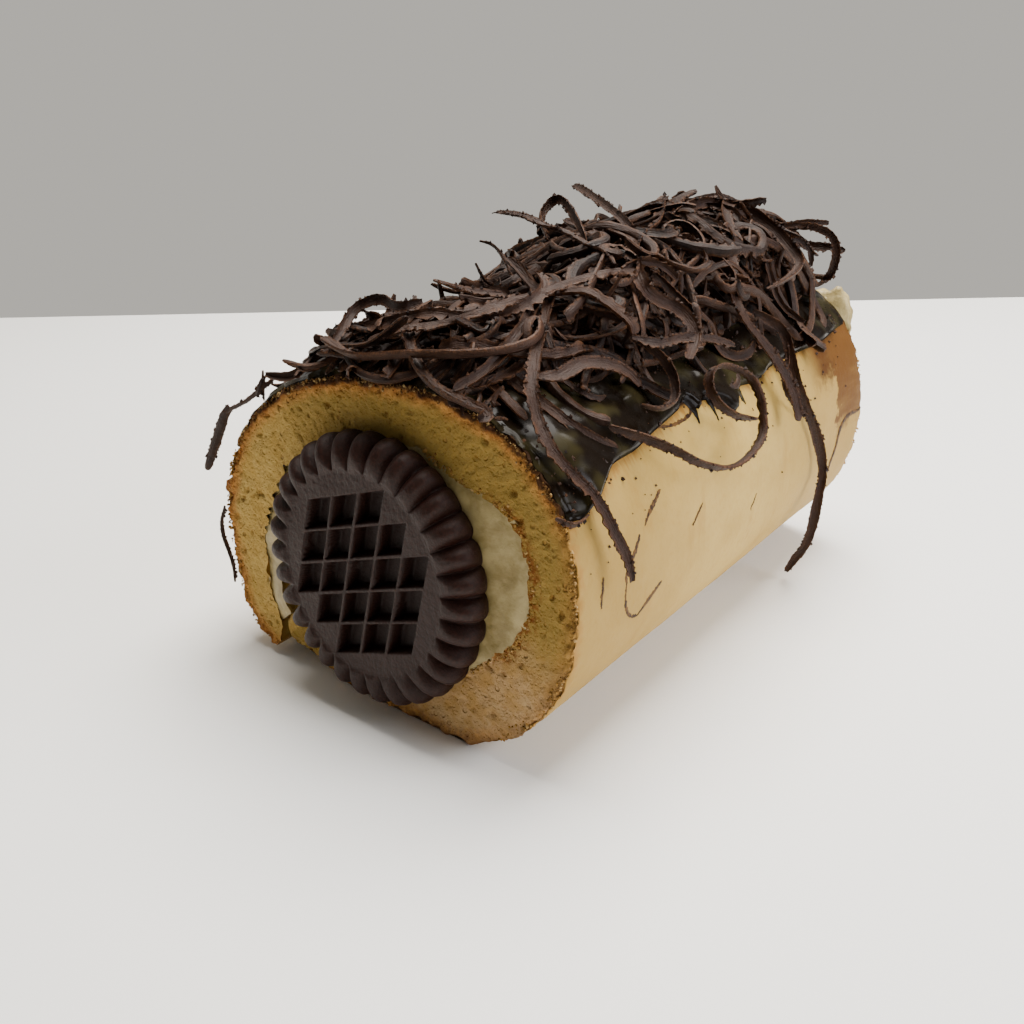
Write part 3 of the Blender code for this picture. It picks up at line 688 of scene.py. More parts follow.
lift = (thick + waves.reshape(degrees.shape) * smooth(to_end / 5.0 + 0.3)) * rounded
top = laid_on_roll(degrees, along_y, lift + 0.04, overhang=0.1)
bottom = laid_on_roll(degrees, along_y, degrees * 0.0 - 0.25, overhang=0.1)
short = np.clip(0.7 + 1.2 * bumps(base, 4.0, octaves=2), 0.0, 2.2)       # its edges stop unevenly short of the ends
for shell in (top, bottom):
    shell[:, 1] += short * (smooth(1.0 - along_y / 0.06) - smooth(1.0 - (1.0 - along_y) / 0.06)).ravel()
count = len(top)
index = np.arange(count).reshape(degrees.shape)
loop = np.concatenate([index[0, :-1], index[:-1, -1], index[-1, :0:-1], index[:0:-1, 0]])
walls = grid_faces(np.stack([loop, loop + count]), closed=True)
faces = np.concatenate([grid_faces(index), grid_faces(index)[:, ::-1] + count, walls])
make_piece("chocolate_glaze", np.concatenate([top, bottom]), faces, [glaze_paint], "glaze")

# %% [markdown]
# ## Shavings
# A bar of dark chocolate drawn over a coarse grater gives gutter-shaped ribbons, 1 to 3 mm wide
# and about half a millimetre thick, with torn, crumbly rims. They curl as they leave the
# blade. Each ribbon here is a mesh drawn along its own path. The paths lie on a map of the
# heap's height, which grows with every ribbon laid, so each one bridges the ones below it.

# %% Chocolate material
chocolate, tree, shader = new_material("grated dark chocolate", Roughness=0.5, Specular_IOR_Level=0.2)
here = add(tree, "TexCoord", {}, "Object")
tone, rim, along, across_ = (add(tree, "Attribute", {}, "Fac", attribute_name=name)
                             for name in ("tone", "rim", "along", "across"))
grit, bloom = (add(tree, "TexNoise", {"Vector": here, "Scale": 1.0 / (size * MM), "Detail": 4.0, "Roughness": 0.7})
               for size in (0.45, 2.5))
drawn = add(tree, "CombineXYZ", {0: add(tree, "Math", {0: along, 1: 0.12}, **TIMES), 1: across_})
grooves = add(tree, "TexNoise", {"Vector": drawn, "Scale": 3.2, "Detail": 2.0})
warm, at_rim, frosted = (add(tree, "MapRange", {0: value, 1: a, 2: b, 3: 0.0, 4: c}, **EASED)
                         for value, a, b, c in ((bloom, 0.4, 0.75, 0.5), (rim, 0.55, 1.0, 0.8), (grit, 0.4, 0.65, 1.0)))
# The rims are lighter: partly the crumbly torn chocolate, partly a painted highlight where the rims catch the light.
rim_crumbs_and_highlight = add(tree, "Math", {0: at_rim, 1: frosted}, **TIMES)
colour = add(tree, "Mix", {0: tone, 6: "#130906", 7: "#301B0F"}, **COLOURS)
for share, tint in ((warm, "#402512"), (rim_crumbs_and_highlight, "#5C3A20")):
    colour = add(tree, "Mix", {0: share, 6: colour, 7: tint}, **COLOURS)
tree.links.new(colour, shader.inputs["Base Color"])
height = add(tree, "Math", {0: grooves, 1: 1.5, 2: grit}, operation="MULTIPLY_ADD")
tree.links.new(add(tree, "Bump", {"Height": height, "Distance": 0.16 * MM}), shader.inputs["Normal"])
print("chocolate finish:", len(tree.nodes), "nodes")

# %% The heap's map
HEAP_ANGLES = (33.0, 152.0)     # right and left edges of the heap, from +X
HEAP = (                        # (y in mm, heights above the skin in mm at 120, 98 and 75 degrees)
    (-57, 2.5, 4.5, 5.0), (-50, 3.5, 7.0, 8.0), (-38, 5.5, 7.5, 10.5), (-28, 5.5, 6.5, 11.5),
    (-18, 3.8, 6.0, 13.5), (-8, 3.0, 7.2, 15.5), (2, 4.2, 10.4, 17.0), (12, 6.2, 12.6, 17.0),
    (24, 9.5, 13.0, 17.5), (44, 10.5, 12.5, 17.0), (54, 10.0, 12.0, 14.5), (62, 8.0, 9.5, 8.5),
)
all_degrees = np.arange(210.0, -60.5, -0.5)
steps = np.linalg.norm(np.diff(at_angle(all_degrees, 4.0), axis=0), axis=1)
all_arcs = np.concatenate([[0.0], np.cumsum(steps)])
all_arcs -= np.interp(-90.0, -all_degrees, all_arcs)
MAP_FROM = np.array([-60.0, -70.0])     # (around to the right, along) of the map's corner, in mm
MAP_SIZE = (120, 148)


def degrees_at(arc):
    return np.interp(arc, all_arcs, all_degrees)


def heap_target(arc, y):
    """How high the heap should stand off the skin, in mm."""
    degrees, (places, *columns) = degrees_at(arc), zip(*HEAP)
    left, top, right = (curve_through(tuple(zip(places, column)), y) for column in columns)
    height = top + (left - top) * smooth((degrees - 98.0) / 22.0) + (right - top) * smooth((98.0 - degrees) / 23.0)
    inside_ends = smooth((y + 59.0) / 4.0) * smooth((67.0 - y) / 4.0)
    return height * inside_ends * smooth((HEAP_ANGLES[1] - degrees) / 26.0) * smooth((degrees - HEAP_ANGLES[0]) / 34.0)


def bare(arc, y):
    """Where the glaze shows through, 0 to 1: on the right shoulder, most of all near the front."""
    limit = curve_through(((-58, 48), (-51, 50), (-44, 58), (-34, 58), (-22, 49), (0, 43), (20, 43), (40, 39), (60, 36)), y)
    return 1.0 - smooth((degrees_at(arc) - limit + 7.0) / 12.0)


def on_map(arc, y):
    """The map's cell under each point."""
    i = np.clip(np.round(arc - MAP_FROM[0]).astype(int), 0, MAP_SIZE[0] - 1)
    j = np.clip(np.round(y - MAP_FROM[1]).astype(int), 0, MAP_SIZE[1] - 1)
    return i, j


map_arc, map_y = np.meshgrid(MAP_FROM[0] + np.arange(MAP_SIZE[0]), MAP_FROM[1] + np.arange(MAP_SIZE[1]), indexing="ij")
target = heap_target(map_arc, map_y) * (1.0 - 0.9 * bare(map_arc, map_y))
on_cake = (degrees_at(map_arc) > 27.0) & (degrees_at(map_arc) < 158.0) & (np.abs(map_y - 3.5) < 61.0)
print("heap's highest point:", round(float(target.max()), 1), "mm above the skin")

# %% Packed shavings underneath
CORE_SHARE = 0.42               # of the heap's height
share_y, share_x = np.linspace(0.02, 0.985, 120), np.linspace(0.0, 1.0, 100)
degrees = np.repeat((HEAP_ANGLES[0] + 7.0 + (HEAP_ANGLES[1] - HEAP_ANGLES[0] - 9.0) * share_x)[None], 120, axis=0)
along_y = np.repeat(share_y[:, None], 100, axis=1)
base = laid_on_roll(degrees, along_y, degrees * 0.0)
arcs = np.interp(-degrees.ravel(), -all_degrees, all_arcs)
core_height = CORE_SHARE * heap_target(arcs, base[:, 1]) * (1.0 - bare(arcs, base[:, 1]))
edge = np.minimum(np.minimum(share_x, 1.0 - share_x)[None], np.minimum(share_y - 0.02, 0.985 - share_y)[:, None]).ravel()
uneven = 1.5 * bumps(base, 6.0) + 1.3 * bumps(base, 2.6, octaves=2)
core_height = (core_height + uneven * smooth(core_height / 3.0)) * smooth(edge / 0.05)
top = laid_on_roll(degrees, along_y, np.maximum(core_height, 0.0).reshape(degrees.shape))
count = len(top)
index = np.arange(count).reshape(degrees.shape)
loop = np.concatenate([index[0, :-1], index[:-1, -1], index[-1, :0:-1], index[:0:-1, 0]])
faces = np.concatenate([grid_faces(index), grid_faces(index)[:, ::-1] + count,
                        grid_faces(np.stack([loop, loop + count]), closed=True)])
bottom = laid_on_roll(degrees, along_y, degrees * 0.0 - 0.2)
flat = np.zeros(2 * count)
# Their tone stays low, so the packed shavings are darker than the ribbons over them: painted shade in the gaps of the
# heap.
make_piece("packed_shavings", np.concatenate([top, bottom]), faces, [chocolate], "chocolate", values={
    "tone": np.tile(np.clip(0.1 + 0.3 * bumps(base, 2.0), 0.0, 1.0), 2), "rim": flat,
    "along": np.tile(base[:, 1], 2), "across": np.tile(arcs, 2)}, replaced=["shavings"])
heap = np.full(MAP_SIZE, 1.0)
np.maximum.at(heap, on_map(arcs, base[:, 1]), core_height)

# %% One ribbon
ACROSS = np.array([-1.0, -0.62, 0.0, 0.62, 1.0])     # places across a ribbon


class Batch:
    """Gathers many small solids of one kind into one piece."""

    def __init__(self):
        self.parts, self.count, self.rims = [], 0, []

    def take(self, points, faces, **values):
        spread = {key: np.broadcast_to(value, len(points)) for key, value in values.items()}
        self.parts.append((points, faces + self.count, spread))
        self.count += len(points)

    def make(self, name, finish=chocolate, slot="chocolate", crease=38.0):
        points, faces, values = zip(*self.parts)
        joined = {key: np.concatenate([v[key] for v in values]) for key in values[0]}
        return make_piece(name, np.concatenate(points), np.concatenate(faces), [finish], slot,
                          values=joined, crease=crease)


def unit(vectors):
    return vectors / np.maximum(np.linalg.norm(vectors, axis=-1, keepdims=True), 1e-9)


def wandering(rng, length, size, amount):
    """A soft random curve along a ribbon, whose swings are about size mm long."""
    knots = rng.normal(0.0, amount, max(4, int(length[-1] / size) + 3))
    return np.interp(length, np.linspace(0.0, length[-1], len(knots)), knots)


def ribbon(batch, rng, path, facing, width, thick=0.45, gutter=0.4, teeth=0.0, tone=0.5, taper=1.2, tip=0.45, point=0.5):
    """A gutter-shaped ribbon along a path in mm. facing is which way its flat side looks,
    gutter is how deep it is for its half width, and teeth is how far a torn rim juts out."""
    ahead = unit(np.gradient(path, axis=0))
    facing = unit(facing - ahead * np.sum(facing * ahead, axis=1, keepdims=True))
    aside = np.cross(ahead, facing)
    length = np.concatenate([[0.0], np.cumsum(np.linalg.norm(np.diff(path, axis=0), axis=1))])
    to_tip = np.minimum(length, length[-1] - length)
    half = width / 2.0 * (tip + (1.0 - tip) * np.clip(to_tip / taper, 0.0, 1.0) ** point)
    half = half * (1.0 + wandering(rng, length, 5.0, 0.07))
    sides = half[:, None] * ACROSS
    sides[:, [0, -1]] += rng.normal(0.0, 0.06, (len(path), 2))
    sides[:, -1] += teeth * (wandering(rng, length, 0.55, 0.6) + 0.3)
    up = gutter * half[:, None] * (ACROSS ** 2 - 0.4)
    body = thick / 2.0 * (1.0 - 0.35 * ACROSS ** 2) * (0.5 + 0.5 * np.clip(to_tip / taper, 0.0, 1.0))[:, None]
    layers = [path[:, None] + aside[:, None] * sides[..., None] + facing[:, None] * (up + sign * body)[..., None]
              for sign in (1, -1)]
    rings = np.concatenate([layers[0], layers[1][:, ::-1]], axis=1)
    rings = rings + rng.normal(0.0, 0.02, rings.shape)
    index = np.arange(rings.shape[0] * 10).reshape(-1, 10)
    caps = [grid_faces(np.stack([index[k, :5], index[k, :4:-1]]))[:, ::step] for k, step in ((0, -1), (-1, 1))]
    faces = np.concatenate([grid_faces(index, closed=True)[:, ::-1], *caps])
    around = np.concatenate([ACROSS, ACROSS[::-1]])
    batch.rims.append(rings[2:-2:2, [0, 4]].reshape(-1, 3))
    batch.take(rings.reshape(-1, 3), faces, tone=tone, rim=np.tile(np.abs(around), len(path)),
               along=np.repeat(length + 97.0 * tone, 10), across=np.tile(around, len(path)) * width / 2.0)


def on_heap(arc, y, lift):
    """Points over the roll, and the direction away from it."""
    degrees = degrees_at(arc)
    x, z = at_angle(degrees, lift).T
    away = np.stack([np.cos(np.radians(degrees)), np.zeros_like(y), np.sin(np.radians(degrees))], axis=1)
    return np.stack([x, y, z], axis=1), away


def turned(facing, ahead, degrees):
    """Directions turned about the way ahead, by degrees that may vary along it."""
    angle = np.radians(degrees)[:, None]
    return facing * np.cos(angle) + np.cross(ahead, facing) * np.sin(angle)


print("a ribbon has", 2 * len(ACROSS), "points round it")

# %% Lay the ribbons
def random_path(rng, length, step, radii, lean_to, spread):
    """A path on the unrolled top of the cake. It starts where the heap is still too low, bends
    to a radius between these, tighter towards one end, and may have a kink."""
    count = max(5, round(length / step))
    share = np.linspace(0.0, 1.0, count)
    want = np.where(on_cake, np.clip(target - heap, 0.0, None) ** 1.5 + 0.004 * (target > 0.5), 0.0).ravel()
    for _ in range(20):
        pick = rng.choice(want.size, p=want / want.sum())
        middle = np.array([map_arc.flat[pick], map_y.flat[pick]]) + rng.uniform(-0.5, 0.5, 2)
        bend = rng.choice([-1, 1]) / rng.uniform(*radii)
        hook = rng.choice([0.0, 1.0, 3.0, 5.0])
        curvature = bend * (0.6 + hook * share ** 4) + rng.normal(0.0, 0.02) * np.sin(6.28 * share * length / 25.0)
        if rng.random() < 0.4:
            curvature = curvature * np.cos(math.pi * share * rng.uniform(0.7, 1.5))
        if rng.random() < 0.25:
            curvature = curvature + rng.normal(0.0, 0.7) / step * np.exp(-((share - rng.random()) * length / 0.9) ** 2)
        headings = math.radians(rng.normal(lean_to, spread)) + np.cumsum(curvature * step)
        headings -= headings[count // 2] - math.radians(rng.normal(lean_to, spread))
        path = np.cumsum(np.stack([np.cos(headings), np.sin(headings)], axis=1) * step, axis=0)
        path += middle - path[count // 2]
        if rng.random() < 0.5:
            path = path[::-1]
        i, j = on_map(*path.T)
        if on_cake[i, j].mean() > 0.93 and abs(path[:, 1] - 3.5).max() < 64.5:
            break
    return path


def settle(path, stiff, rise):
    """How high each point of a stiff ribbon lies: on the heap, or bridging over its dips."""
    i, j = on_map(*path.T)
    support = heap[i, j]
    lift = support.copy()
    for _ in range(stiff):
        lift[1:-1] = np.maximum(support[1:-1], (lift[:-2] + lift[2:]) / 2.0)
    for _ in range(3):
        lift[1:-1] = (lift[:-2] + 2.0 * lift[1:-1] + lift[2:]) / 4.0
    lift = np.minimum(lift, target[i, j] + 0.3 + rng.uniform(0.0, 1.6))
    for _ in range(6):
        lift[1:-1] = (lift[:-2] + 2.0 * lift[1:-1] + lift[2:]) / 4.0
    np.maximum.at(heap, (i, j), lift + rise)
    for di, dj in ((1, 0), (-1, 0), (0, 1), (0, -1)):
        beside = (np.clip(i + di, 0, MAP_SIZE[0] - 1), np.clip(j + dj, 0, MAP_SIZE[1] - 1))
        np.maximum.at(heap, beside, lift + rise * 0.5)
    return lift + rise * 0.4


KINDS = (   # name, how many, lengths, widths, bend radii, stiffness, rise, raised ends, in mm
    ("broken_shavings", 190, (3.0, 11.0), (0.8, 1.7), (3.0, 30.0), 4, 0.7, 3.0),
    ("broad_ribbons", 86, (20.0, 56.0), (1.5, 2.5), (7.0, 50.0), 40, 1.1, 4.5),
    ("narrow_ribbons", 84, (12.0, 40.0), (0.7, 1.4), (5.0, 30.0), 20, 0.8, 6.0),
    ("ringed_ribbons", 50, (18.0, 40.0), (1.2, 2.0), (4.5, 10.0), 40, 1.2, 3.0),
    ("grated_bits", 260, (1.5, 6.0), (0.5, 1.2), (1.5, 12.0), 3, 0.3, 2.0),
    ("top_ribbons", 42, (22.0, 56.0), (1.7, 2.6), (6.0, 30.0), 60, 1.2, 5.0),
)
rng = np.random.default_rng(20)
rims = []
for name, how_many, lengths, widths, radii, stiff, rise, raised in KINDS:
    batch = Batch()
    for _ in range(how_many):
        torn = lengths[1] > 15.0 and rng.random() < 0.4
        step = 0.45 if torn else 0.8
        path = random_path(rng, rng.uniform(*lengths), step, radii, 30.0, 75.0)
        width = rng.uniform(*widths)
        lift = settle(path, stiff * (3 if torn else 1), rise)
        length = np.arange(len(path)) * step
        reach = min(9.0, length[-1] / 2.0)
        for tip in (length, length[-1] - length):
            lift = lift + (rng.random() < 0.5) * rng.uniform(0.2, 1.0) * raised * np.clip(1.0 - tip / reach, 0.0, 1.0) ** 2
        if name == "ringed_ribbons":
            lift = lift + np.abs(np.linspace(-1.0, 1.0, len(lift))) * rng.uniform(-1.0, 3.0)
        spots, away = on_heap(path[:, 0], path[:, 1], lift + 0.3)
        ahead = unit(np.gradient(spots, axis=0))
        twist = rng.normal(0.0, 24.0) + rng.normal(0.0, 45.0) * (length / length[-1] - 0.5)
        if name == "ringed_ribbons" or rng.random() < 0.2:
            twist = twist + rng.choice([-75.0, 75.0])
        ribbon(batch, rng, spots, turned(away, ahead, twist), width, thick=rng.uniform(0.45, 0.7),
               gutter=rng.choice([-1, 1]) * rng.uniform(0.3, 0.95), teeth=rng.uniform(0.3, 0.85) * torn, tone=rng.random())
    batch.make(name)
    rims += batch.rims
print("heap now stands", round(float(heap.max()), 1), "mm above the skin")

# %% [markdown]
# ### Single curls
# Some curls stand out from the heap, and give it its outline: a ring that leans out over the
# right side, a strand that hangs to the board, twigs that stand up. Each has a few places of its
# own, as (angle around the roll, y, height off the skin), and a smooth curve runs through them.

# %% Single curls
CURLS = (   # name, width in mm, turn of its flat side in degrees, torn rim, places
    ("hanging strand", 2.1, (70, 60), 0, ((44, 24, 6), (36, 28, 5.5), (30, 27, 4), (23, 26, 3), (14, 29, 2.2),
     (5, 33, 2), (-5, 36, 2.5), (-13, 34, 4), (-22, 33, 6.4), (-26, 33, 7.4), (-31, 33, 8), (-36, 33, 9.6))),
    ("straight ribbon", 2.9, (-25, 20), 0.2, ((66, 31, 10), (60, 27, 10), (48, 17, 9), (40, 16, 7), (31, 19, 5),
     (24, 21, 4), (18, 21, 4), (15, 19, 4.5))),
    ("small loop", 0.9, (80, 80), 0, ((33, 27, 5), (28.5, 25.5, 3.5), (24, 21.5, 2.6), (19, 23, 2.2), (14, 28, 1.6), (11, 32.5, 1.2))),
    ("leaning ring", 2.0, (75, 88), 0.3, ((36, -35, 3), (31, -30, 3.5), (26, -26, 5), (21, -22, 6.5), (17, -15, 7.5),
     (17, -8, 8), (19, -2, 8), (23, 0, 8.5), (27, 1, 9), (31, 1, 9), (35, -3, 9), (36, -6, 8.5), (34, -8, 7),
     (30, -8, 6), (25, -4, 5.5), (21, 4, 5))),
    ("front ribbon", 2.0, (30, 10), 0.35, ((73, -19, 10), (60, -36, 8.5), (52, -45, 6.5), (46, -48, 4), (39, -50, 2.8),
     (33, -50, 2.4), (26, -48, 2.6), (18, -47, 3), (11, -46, 4), (6, -46, 4.6))),
    ("big curl", 2.6, (50, 35), 0.2, ((88, 40, 17.5), (74, 17, 18), (71, 6, 17.5), (66, -4, 16), (59, -9, 14.5),
     (55, -8, 13), (51, -5, 12), (46, -5, 11), (43, -7, 10), (40, -13, 10))),
    ("inner curl", 1.6, (60, 60), 0, ((75, 7, 16), (71, 10, 16), (67, 13, 15), (62, 16, 13.5), (57, 15, 12.5))),
    ("far curl", 2.4, (70, 70), 0, ((74, 23, 18), (75, 35, 18.5), (70, 43, 17.5), (61, 45, 16), (53, 43, 14.5),
     (48, 41, 13.5), (46, 35, 12.5), (46, 26, 11))),
    ("ring at the far end", 1.9, (80, 70), 0, ((68, 42, 9), (64, 49, 11.5), (59, 54.5, 14), (54, 57, 15.6),
     (50, 58, 15.4), (46.5, 58, 13), (44, 58, 9.5), (42.5, 58, 6), (43, 56, 3.5), (48, 50, 3.0), (55, 42, 5))),
    ("far twig", 1.5, (40, 60), 0.3, ((68, 46, 12), (62, 52, 13), (57, 56, 15.5), (53, 60, 17))),
    ("far hook", 1.3, (60, 60), 0.3, ((60, 47, 12), (55, 52, 13), (50, 54, 11), (47, 53, 8))),
    ("short twig", 1.3, (30, 60), 0.2, ((96, -14, 7), (99, -15, 10), (101, -15, 13.5))),
    ("bent twig", 1.2, (60, 20), 0.3, ((92, -12, 9), (96, -10, 12), (100, -9, 15.5), (103, -11, 17))),
    ("low twig", 1.2, (10, 40), 0.3, ((104, -30, 5), (108, -29, 8), (110, -27, 9.5))),
    ("torn strand in the ring", 1.8, (60, 60), 0.45, ((60, 56, 8), (56, 59, 9), (52.5, 59.5, 10), (48.5, 60, 12), (45.5, 60, 13.5))),
    ("standing twig", 1.7, (20, 60), 0, ((110, 34, 22), (104, 29, 21), (93, 21, 19.5), (83, 15, 18), (74, 10, 16))),
    ("torn arrow", 1.9, (10, -20), 0.5, ((100, -7, 22), (92, -8, 21.5), (85, -10, 20.5), (82, -7, 19), (72, -8, 16.5),
     (65, -12, 14.5))),
    ("arched strand", 1.8, (70, 80), 0, ((87, -6, 17), (92, -2, 20), (93, 2, 22), (90, 3, 23), (80, -4, 20), (76, -6, 17))),
    ("left twig", 1.5, (0, 30), 0.3, ((82, -45, 17.5), (80, -43, 16.5), (80, -41, 15.5), (78, -37, 14), (75, -32, 13))),
    ("broad leaf", 2.7, (-15, 10), 0, ((55, -42, 5), (51, -38, 5.5), (51, -32, 6.5), (48, -27, 6.5), (44, -24, 6), (40, -23, 5))),
    ("loop over the glaze", 2.0, (75, 80), 0, ((51, -18, 9), (46, -17, 9), (41, -16, 8), (37, -17, 7), (34, -19, 6),
     (34, -24, 5.5), (37, -27, 5))),
    ("crossing ribbon", 1.9, (10, 0), 0.35, ((50, -20, 10), (46, -16, 10), (45, -10, 10), (42, -3, 10), (38, 3, 9.5))),
    ("near hook", 2.0, (60, 75), 0, ((104, -54, 7), (108, -46, 10), (106, -43, 11.5), (101, -42, 12), (91, -46, 12),
     (88, -42, 12.5))),
    ("left strand", 0.9, (60, 40), 0, ((136, -51.5, 3), (142, -53.7, 2.4), (150.5, -54.2, 2.8), (157.6, -54.7, 5.3),
     (161, -55, 5.5))),
    ("left hook", 2.2, (70, 60), 0, ((155.5, -54.6, 5.2), (158.5, -54.8, 5.6), (163, -55.1, 5.3), (169.3, -55.7, 5.4),
     (176, -56.3, 6.5))),
    ("left chip", 1.2, (60, 60), 0.2, ((146, -53, 0.5), (141, -53.5, 3), (137.4, -53.4, 5.5))),
    ("left crumb", 1.4, (60, 60), 0.3, ((138.5, -53.5, 4), (142, -54.2, 2.8), (146, -54, 1.5))),
    ("left thread", 0.9, (80, 80), 0, ((184, -56.9, 0.4), (188.7, -57.4, 2.2), (192.2, -57.7, 2.4), (196, -58.1, 1.4),
     (200, -58.4, 0.9), (204.8, -58.9, 1.6))),
    ("chip on the edge", 1.2, (60, 60), 0.2, ((25, -57, 1.4), (22, -54, 1.6), (22, -49, 1.2))),
)
rng = np.random.default_rng(5)
batch = Batch()
for name, width, (turn_from, turn_to), teeth, places in CURLS:
    table = [(k, place) for k, place in enumerate(places)]
    fine = np.linspace(0.0, len(places) - 1.0, 12 * len(places))
    angle_, y_, lift_ = (curve_through([(k, place[i]) for k, place in table], fine) for i in range(3))
    arcs = np.interp(-angle_, -all_degrees, all_arcs)
    clear = np.where((angle_ > 40.0) & (angle_ < 130.0), heap[on_map(arcs, y_)] + 0.8, 0.0)
    lift_ = np.maximum(lift_, np.convolve(np.pad(clear, 12, mode="edge"), np.ones(25) / 25.0, mode="valid"))
    spots = np.stack([*at_angle(angle_, lift_).T, y_], axis=1)[:, [0, 2, 1]]
    length = np.concatenate([[0.0], np.cumsum(np.linalg.norm(np.diff(spots, axis=0), axis=1))])
    even = np.arange(0.0, length[-1], 0.45)
    spots = np.stack([np.interp(even, length, spots[:, i]) for i in range(3)], axis=1)
    for _ in range(10):
        spots[1:-1] = (spots[:-2] + 2.0 * spots[1:-1] + spots[2:]) / 4.0
    angle_ = np.radians(np.interp(even, length, angle_))
    away = np.stack([np.cos(angle_), np.zeros_like(even), np.sin(angle_)], axis=1)
    ahead = unit(np.gradient(spots, axis=0))
    twist = np.linspace(turn_from, turn_to, len(even))
    ribbon(batch, rng, spots, turned(away, ahead, twist), width, thick=0.5, gutter=0.5, teeth=teeth,
           tone=0.4 + 0.5 * rng.random(), taper=5.0)
    print(f"{name}: {length[-1]:.0f} mm long")
batch.make("single_curls")
rims += batch.rims * 3

# %% [markdown]
# ### Crumbs
# Grating throws crumbs: most cling to the torn rims of the shavings, some lie on glaze and skin.
# The knife does the same to the sponge, whose toasted crumbs stand along the crust and along the
# cream. They are finer than rice, so each is only a rough little lump, but there are thousands.

# %% Crumbs of chocolate
LUMP = np.array([(1, 0, 0), (0, 1, 0), (-1, 0, 0), (0, -1, 0), (0, 0, 1), (0, 0, -1)], float)
LUMP_FACES = np.array([(0, 1, 4), (1, 2, 4), (2, 3, 4), (3, 0, 4), (1, 0, 5), (2, 1, 5), (3, 2, 5), (0, 3, 5)])


def lumps(rng, centres, small, large, tones=None):
    """A batch of rough lumps at these places, with radii from small to large in mm."""
    sizes = small + (large - small) * rng.random(len(centres)) ** 3
    corners = centres[:, None] + LUMP * sizes[:, None, None] * rng.uniform(0.6, 1.3, (len(centres), 6, 1))
    batch, shade = Batch(), np.repeat(rng.random(len(centres)) if tones is None else tones, 6)
    batch.take(corners.reshape(-1, 3), (LUMP_FACES + 6 * np.arange(len(centres))[:, None, None]).reshape(-1, 3),
               tone=shade, rim=np.repeat(rng.random(len(centres)), 6), along=shade * 9.0, across=shade)
    return batch


CRUMBS_ON_RIMS, CRUMBS_BELOW, CRUMBS_ON_SKIN = 4600, 500, 55
rims = np.concatenate(rims)
centres = rims[rng.choice(len(rims), CRUMBS_ON_RIMS)]
edge_y = rng.uniform(-53.0, 61.0, CRUMBS_BELOW)
edge_degrees = curve_through(GLAZE_RIGHT, edge_y) + np.abs(rng.normal(0.0, 16.0, CRUMBS_BELOW))
low_y = rng.uniform(-56.0, 62.0, CRUMBS_ON_SKIN)
low_degrees = curve_through(GLAZE_RIGHT, low_y) - np.abs(rng.normal(0.0, 9.0, CRUMBS_ON_SKIN)) - 1.0
for degrees, y_, lift_ in ((edge_degrees, edge_y, 1.4), (low_degrees, low_y, 0.1)):
    x_, z_ = at_angle(degrees, lift_).T
    centres = np.concatenate([centres, np.stack([x_, y_, z_], axis=1)])
lumps(rng, centres, 0.16, 0.58).make("chocolate_crumbs")

# %% Toasted crumbs of sponge
crumb_crust, tree, shader = new_material("toasted sponge crumbs", Roughness=0.9, Specular_IOR_Level=0.15)
here = add(tree, "TexCoord", {}, "Object")
tone, shaded = (add(tree, "Attribute", {}, "Fac", attribute_name=name) for name in ("tone", "rim"))
rough = add(tree, "TexNoise", {"Vector": here, "Scale": 1.0 / (0.5 * MM), "Detail": 3.0})
colour = add(tree, "Mix", {0: tone, 6: "#3A2110", 7: "#B98D4A"}, **COLOURS)
colour = add(tree, "Mix", {0: add(tree, "MapRange", {0: shaded, 1: 0.7, 2: 1.2}), 6: colour, 7: "#CFB07A"}, **COLOURS)
tree.links.new(colour, shader.inputs["Base Color"])
tree.links.new(add(tree, "Bump", {"Height": rough, "Distance": 0.2 * MM}), shader.inputs["Normal"])
CRUMBS_ON_CRUST, CRUMBS_BY_CREAM = 1500, 420        # at each cut end
centres, tones = [], []
for side in (-1, 1):
    turns = np.concatenate([rng.uniform(0.0, 268.0, CRUMBS_ON_CRUST), rng.uniform(160.0, 270.0, CRUMBS_BY_CREAM)])
    on_crust = np.arange(len(turns)) < CRUMBS_ON_CRUST
    scatter = np.abs(rng.normal(0.0, 0.8, len(turns)))
    depths = np.where(on_crust, outer_depth(turns) + 0.2 + scatter, inner_depth(turns) + 0.1 - scatter)
    x_, z_ = on_spiral(turns, depths).T
    inset = rng.uniform(-0.1, 0.4, len(turns)) * np.where(on_crust, 1.0, 0.4)
    soaked_there = smooth((turns - 58.0) / 16.0) * smooth((204.0 - turns) / 8.0) * on_crust
    kept = z_ > 0.6
    centres.append(np.stack([x_, end_at(z_, side) - side * inset, z_], axis=1)[kept])
    tones.append((rng.uniform(0.35, 1.0, len(turns)) * (1.0 - 0.75 * soaked_there))[kept])
batch = lumps(rng, np.concatenate(centres), 0.12, 0.5, np.concatenate(tones))
batch.make("sponge_crumbs", crumb_crust, "sponge", crease=None)

# %% [markdown]
# ### Smears and drips
# A shaving that has slid down the skin leaves a thin brown smear, and glaze that was too runny
# leaves short drips below its edge. Both are flat ribbons that lie on the skin, so the ribbon
# that made the shavings makes them too.

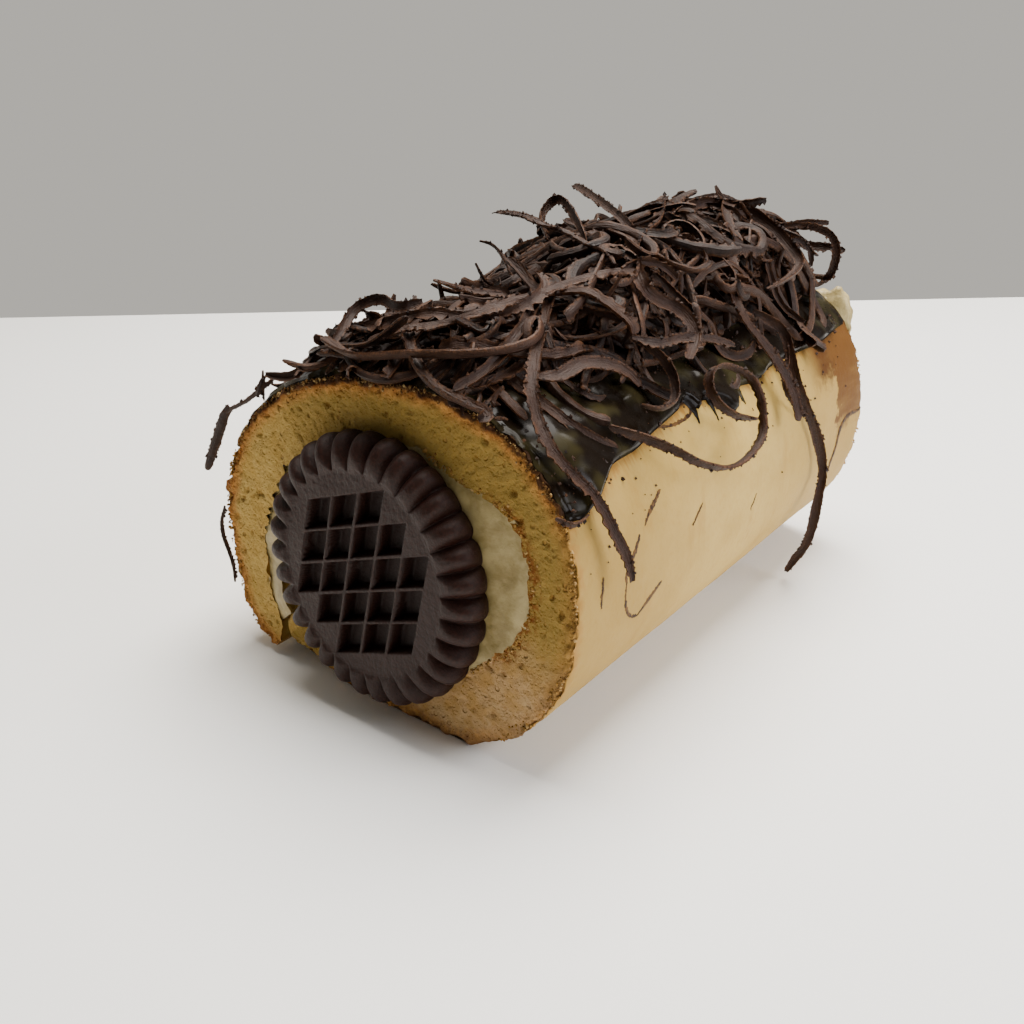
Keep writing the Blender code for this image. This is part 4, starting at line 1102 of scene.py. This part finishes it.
# %% Smears and drips
smear_paint, tree, shader = new_material("smeared chocolate", Roughness=0.55, Specular_IOR_Level=0.15)
here = add(tree, "TexCoord", {}, "Object")
rubbed = add(tree, "MapRange", {0: add(tree, "TexNoise", {"Vector": here, "Scale": 1.0 / (1.2 * MM), "Detail": 3.0}),
                                1: 0.38, 2: 0.62}, **EASED)
tree.links.new(add(tree, "Mix", {0: rubbed, 6: "#2E1A0A", 7: "#5C3D18"}, **COLOURS), shader.inputs["Base Color"])
SMEARS = (      # width in mm, places as (angle, y): thin smears of chocolate on the skin
    (1.5, ((-4.6, -29), (-5.2, -30), (-7.2, -33.4), (-9.5, -36.8))), (0.6, ((-8.6, -36), (-9.5, -36.8), (-7.6, -39.7), (-3.5, -41.5), (2.6, -41.1))),
    (1.5, ((1.5, -41), (4, -41), (9, -37), (11, -36))), (1.2, ((17.5, -27), (16, -29), (14, -32), (12, -34))),
    (0.9, ((7, -48), (4, -48.5), (2, -49), (0, -49))),
    (1.1, ((2.6, 61.4), (2.5, 59.1), (3.1, 54.4), (1.9, 51.1), (-1.1, 49.3), (-4.5, 48.4), (-8.9, 47.2), (-13, 47.6))),
    (0.6, ((8, -14), (6, -16), (5, -17), (4, -18))), (0.6, ((0, 8), (-2, 7), (-3, 6), (-4, 6))),    (0.9, ((32, -5.5), (29.2, -9), (28.4, -13), (29, -17), (30.5, -21))),
)
DRIPS = (       # short runs of glaze
    (10.0, ((42, -7.0), (36, -7.2), (30, -7.6), (25.8, -8.2))), (4.6, ((38, -1.5), (32, -1.5), (27.5, -1.8), (24, -2.0))),
    (6.0, ((40, 9), (34, 9), (29, 9), (24, 9))),
)
for name, table, finish, slot, thick, lift, shape in (
        ("chocolate_smears", SMEARS, smear_paint, "chocolate", 0.12, 0.05, (6.0, 0.1, 0.5)),
        ("glaze_drips", DRIPS, glaze_paint, "glaze", 0.8, 0.0, (10.0, 0.03, 1.5))):
    batch = Batch()
    for width, places in table:
        fine = np.linspace(0.0, len(places) - 1.0, 14 * len(places))
        angle_, y_ = (curve_through([(k, place[i]) for k, place in enumerate(places)], fine) for i in (0, 1))
        x_, z_ = at_angle(angle_, fine * 0.0 + lift).T
        away = np.stack([np.cos(np.radians(angle_)), fine * 0.0, np.sin(np.radians(angle_))], axis=1)
        ribbon(batch, rng, np.stack([x_, y_, z_], axis=1), away, width, thick=thick, gutter=-0.1, teeth=0.2, tone=0.2,
               taper=shape[0], tip=shape[1], point=shape[2])
    batch.make(name, finish, slot)
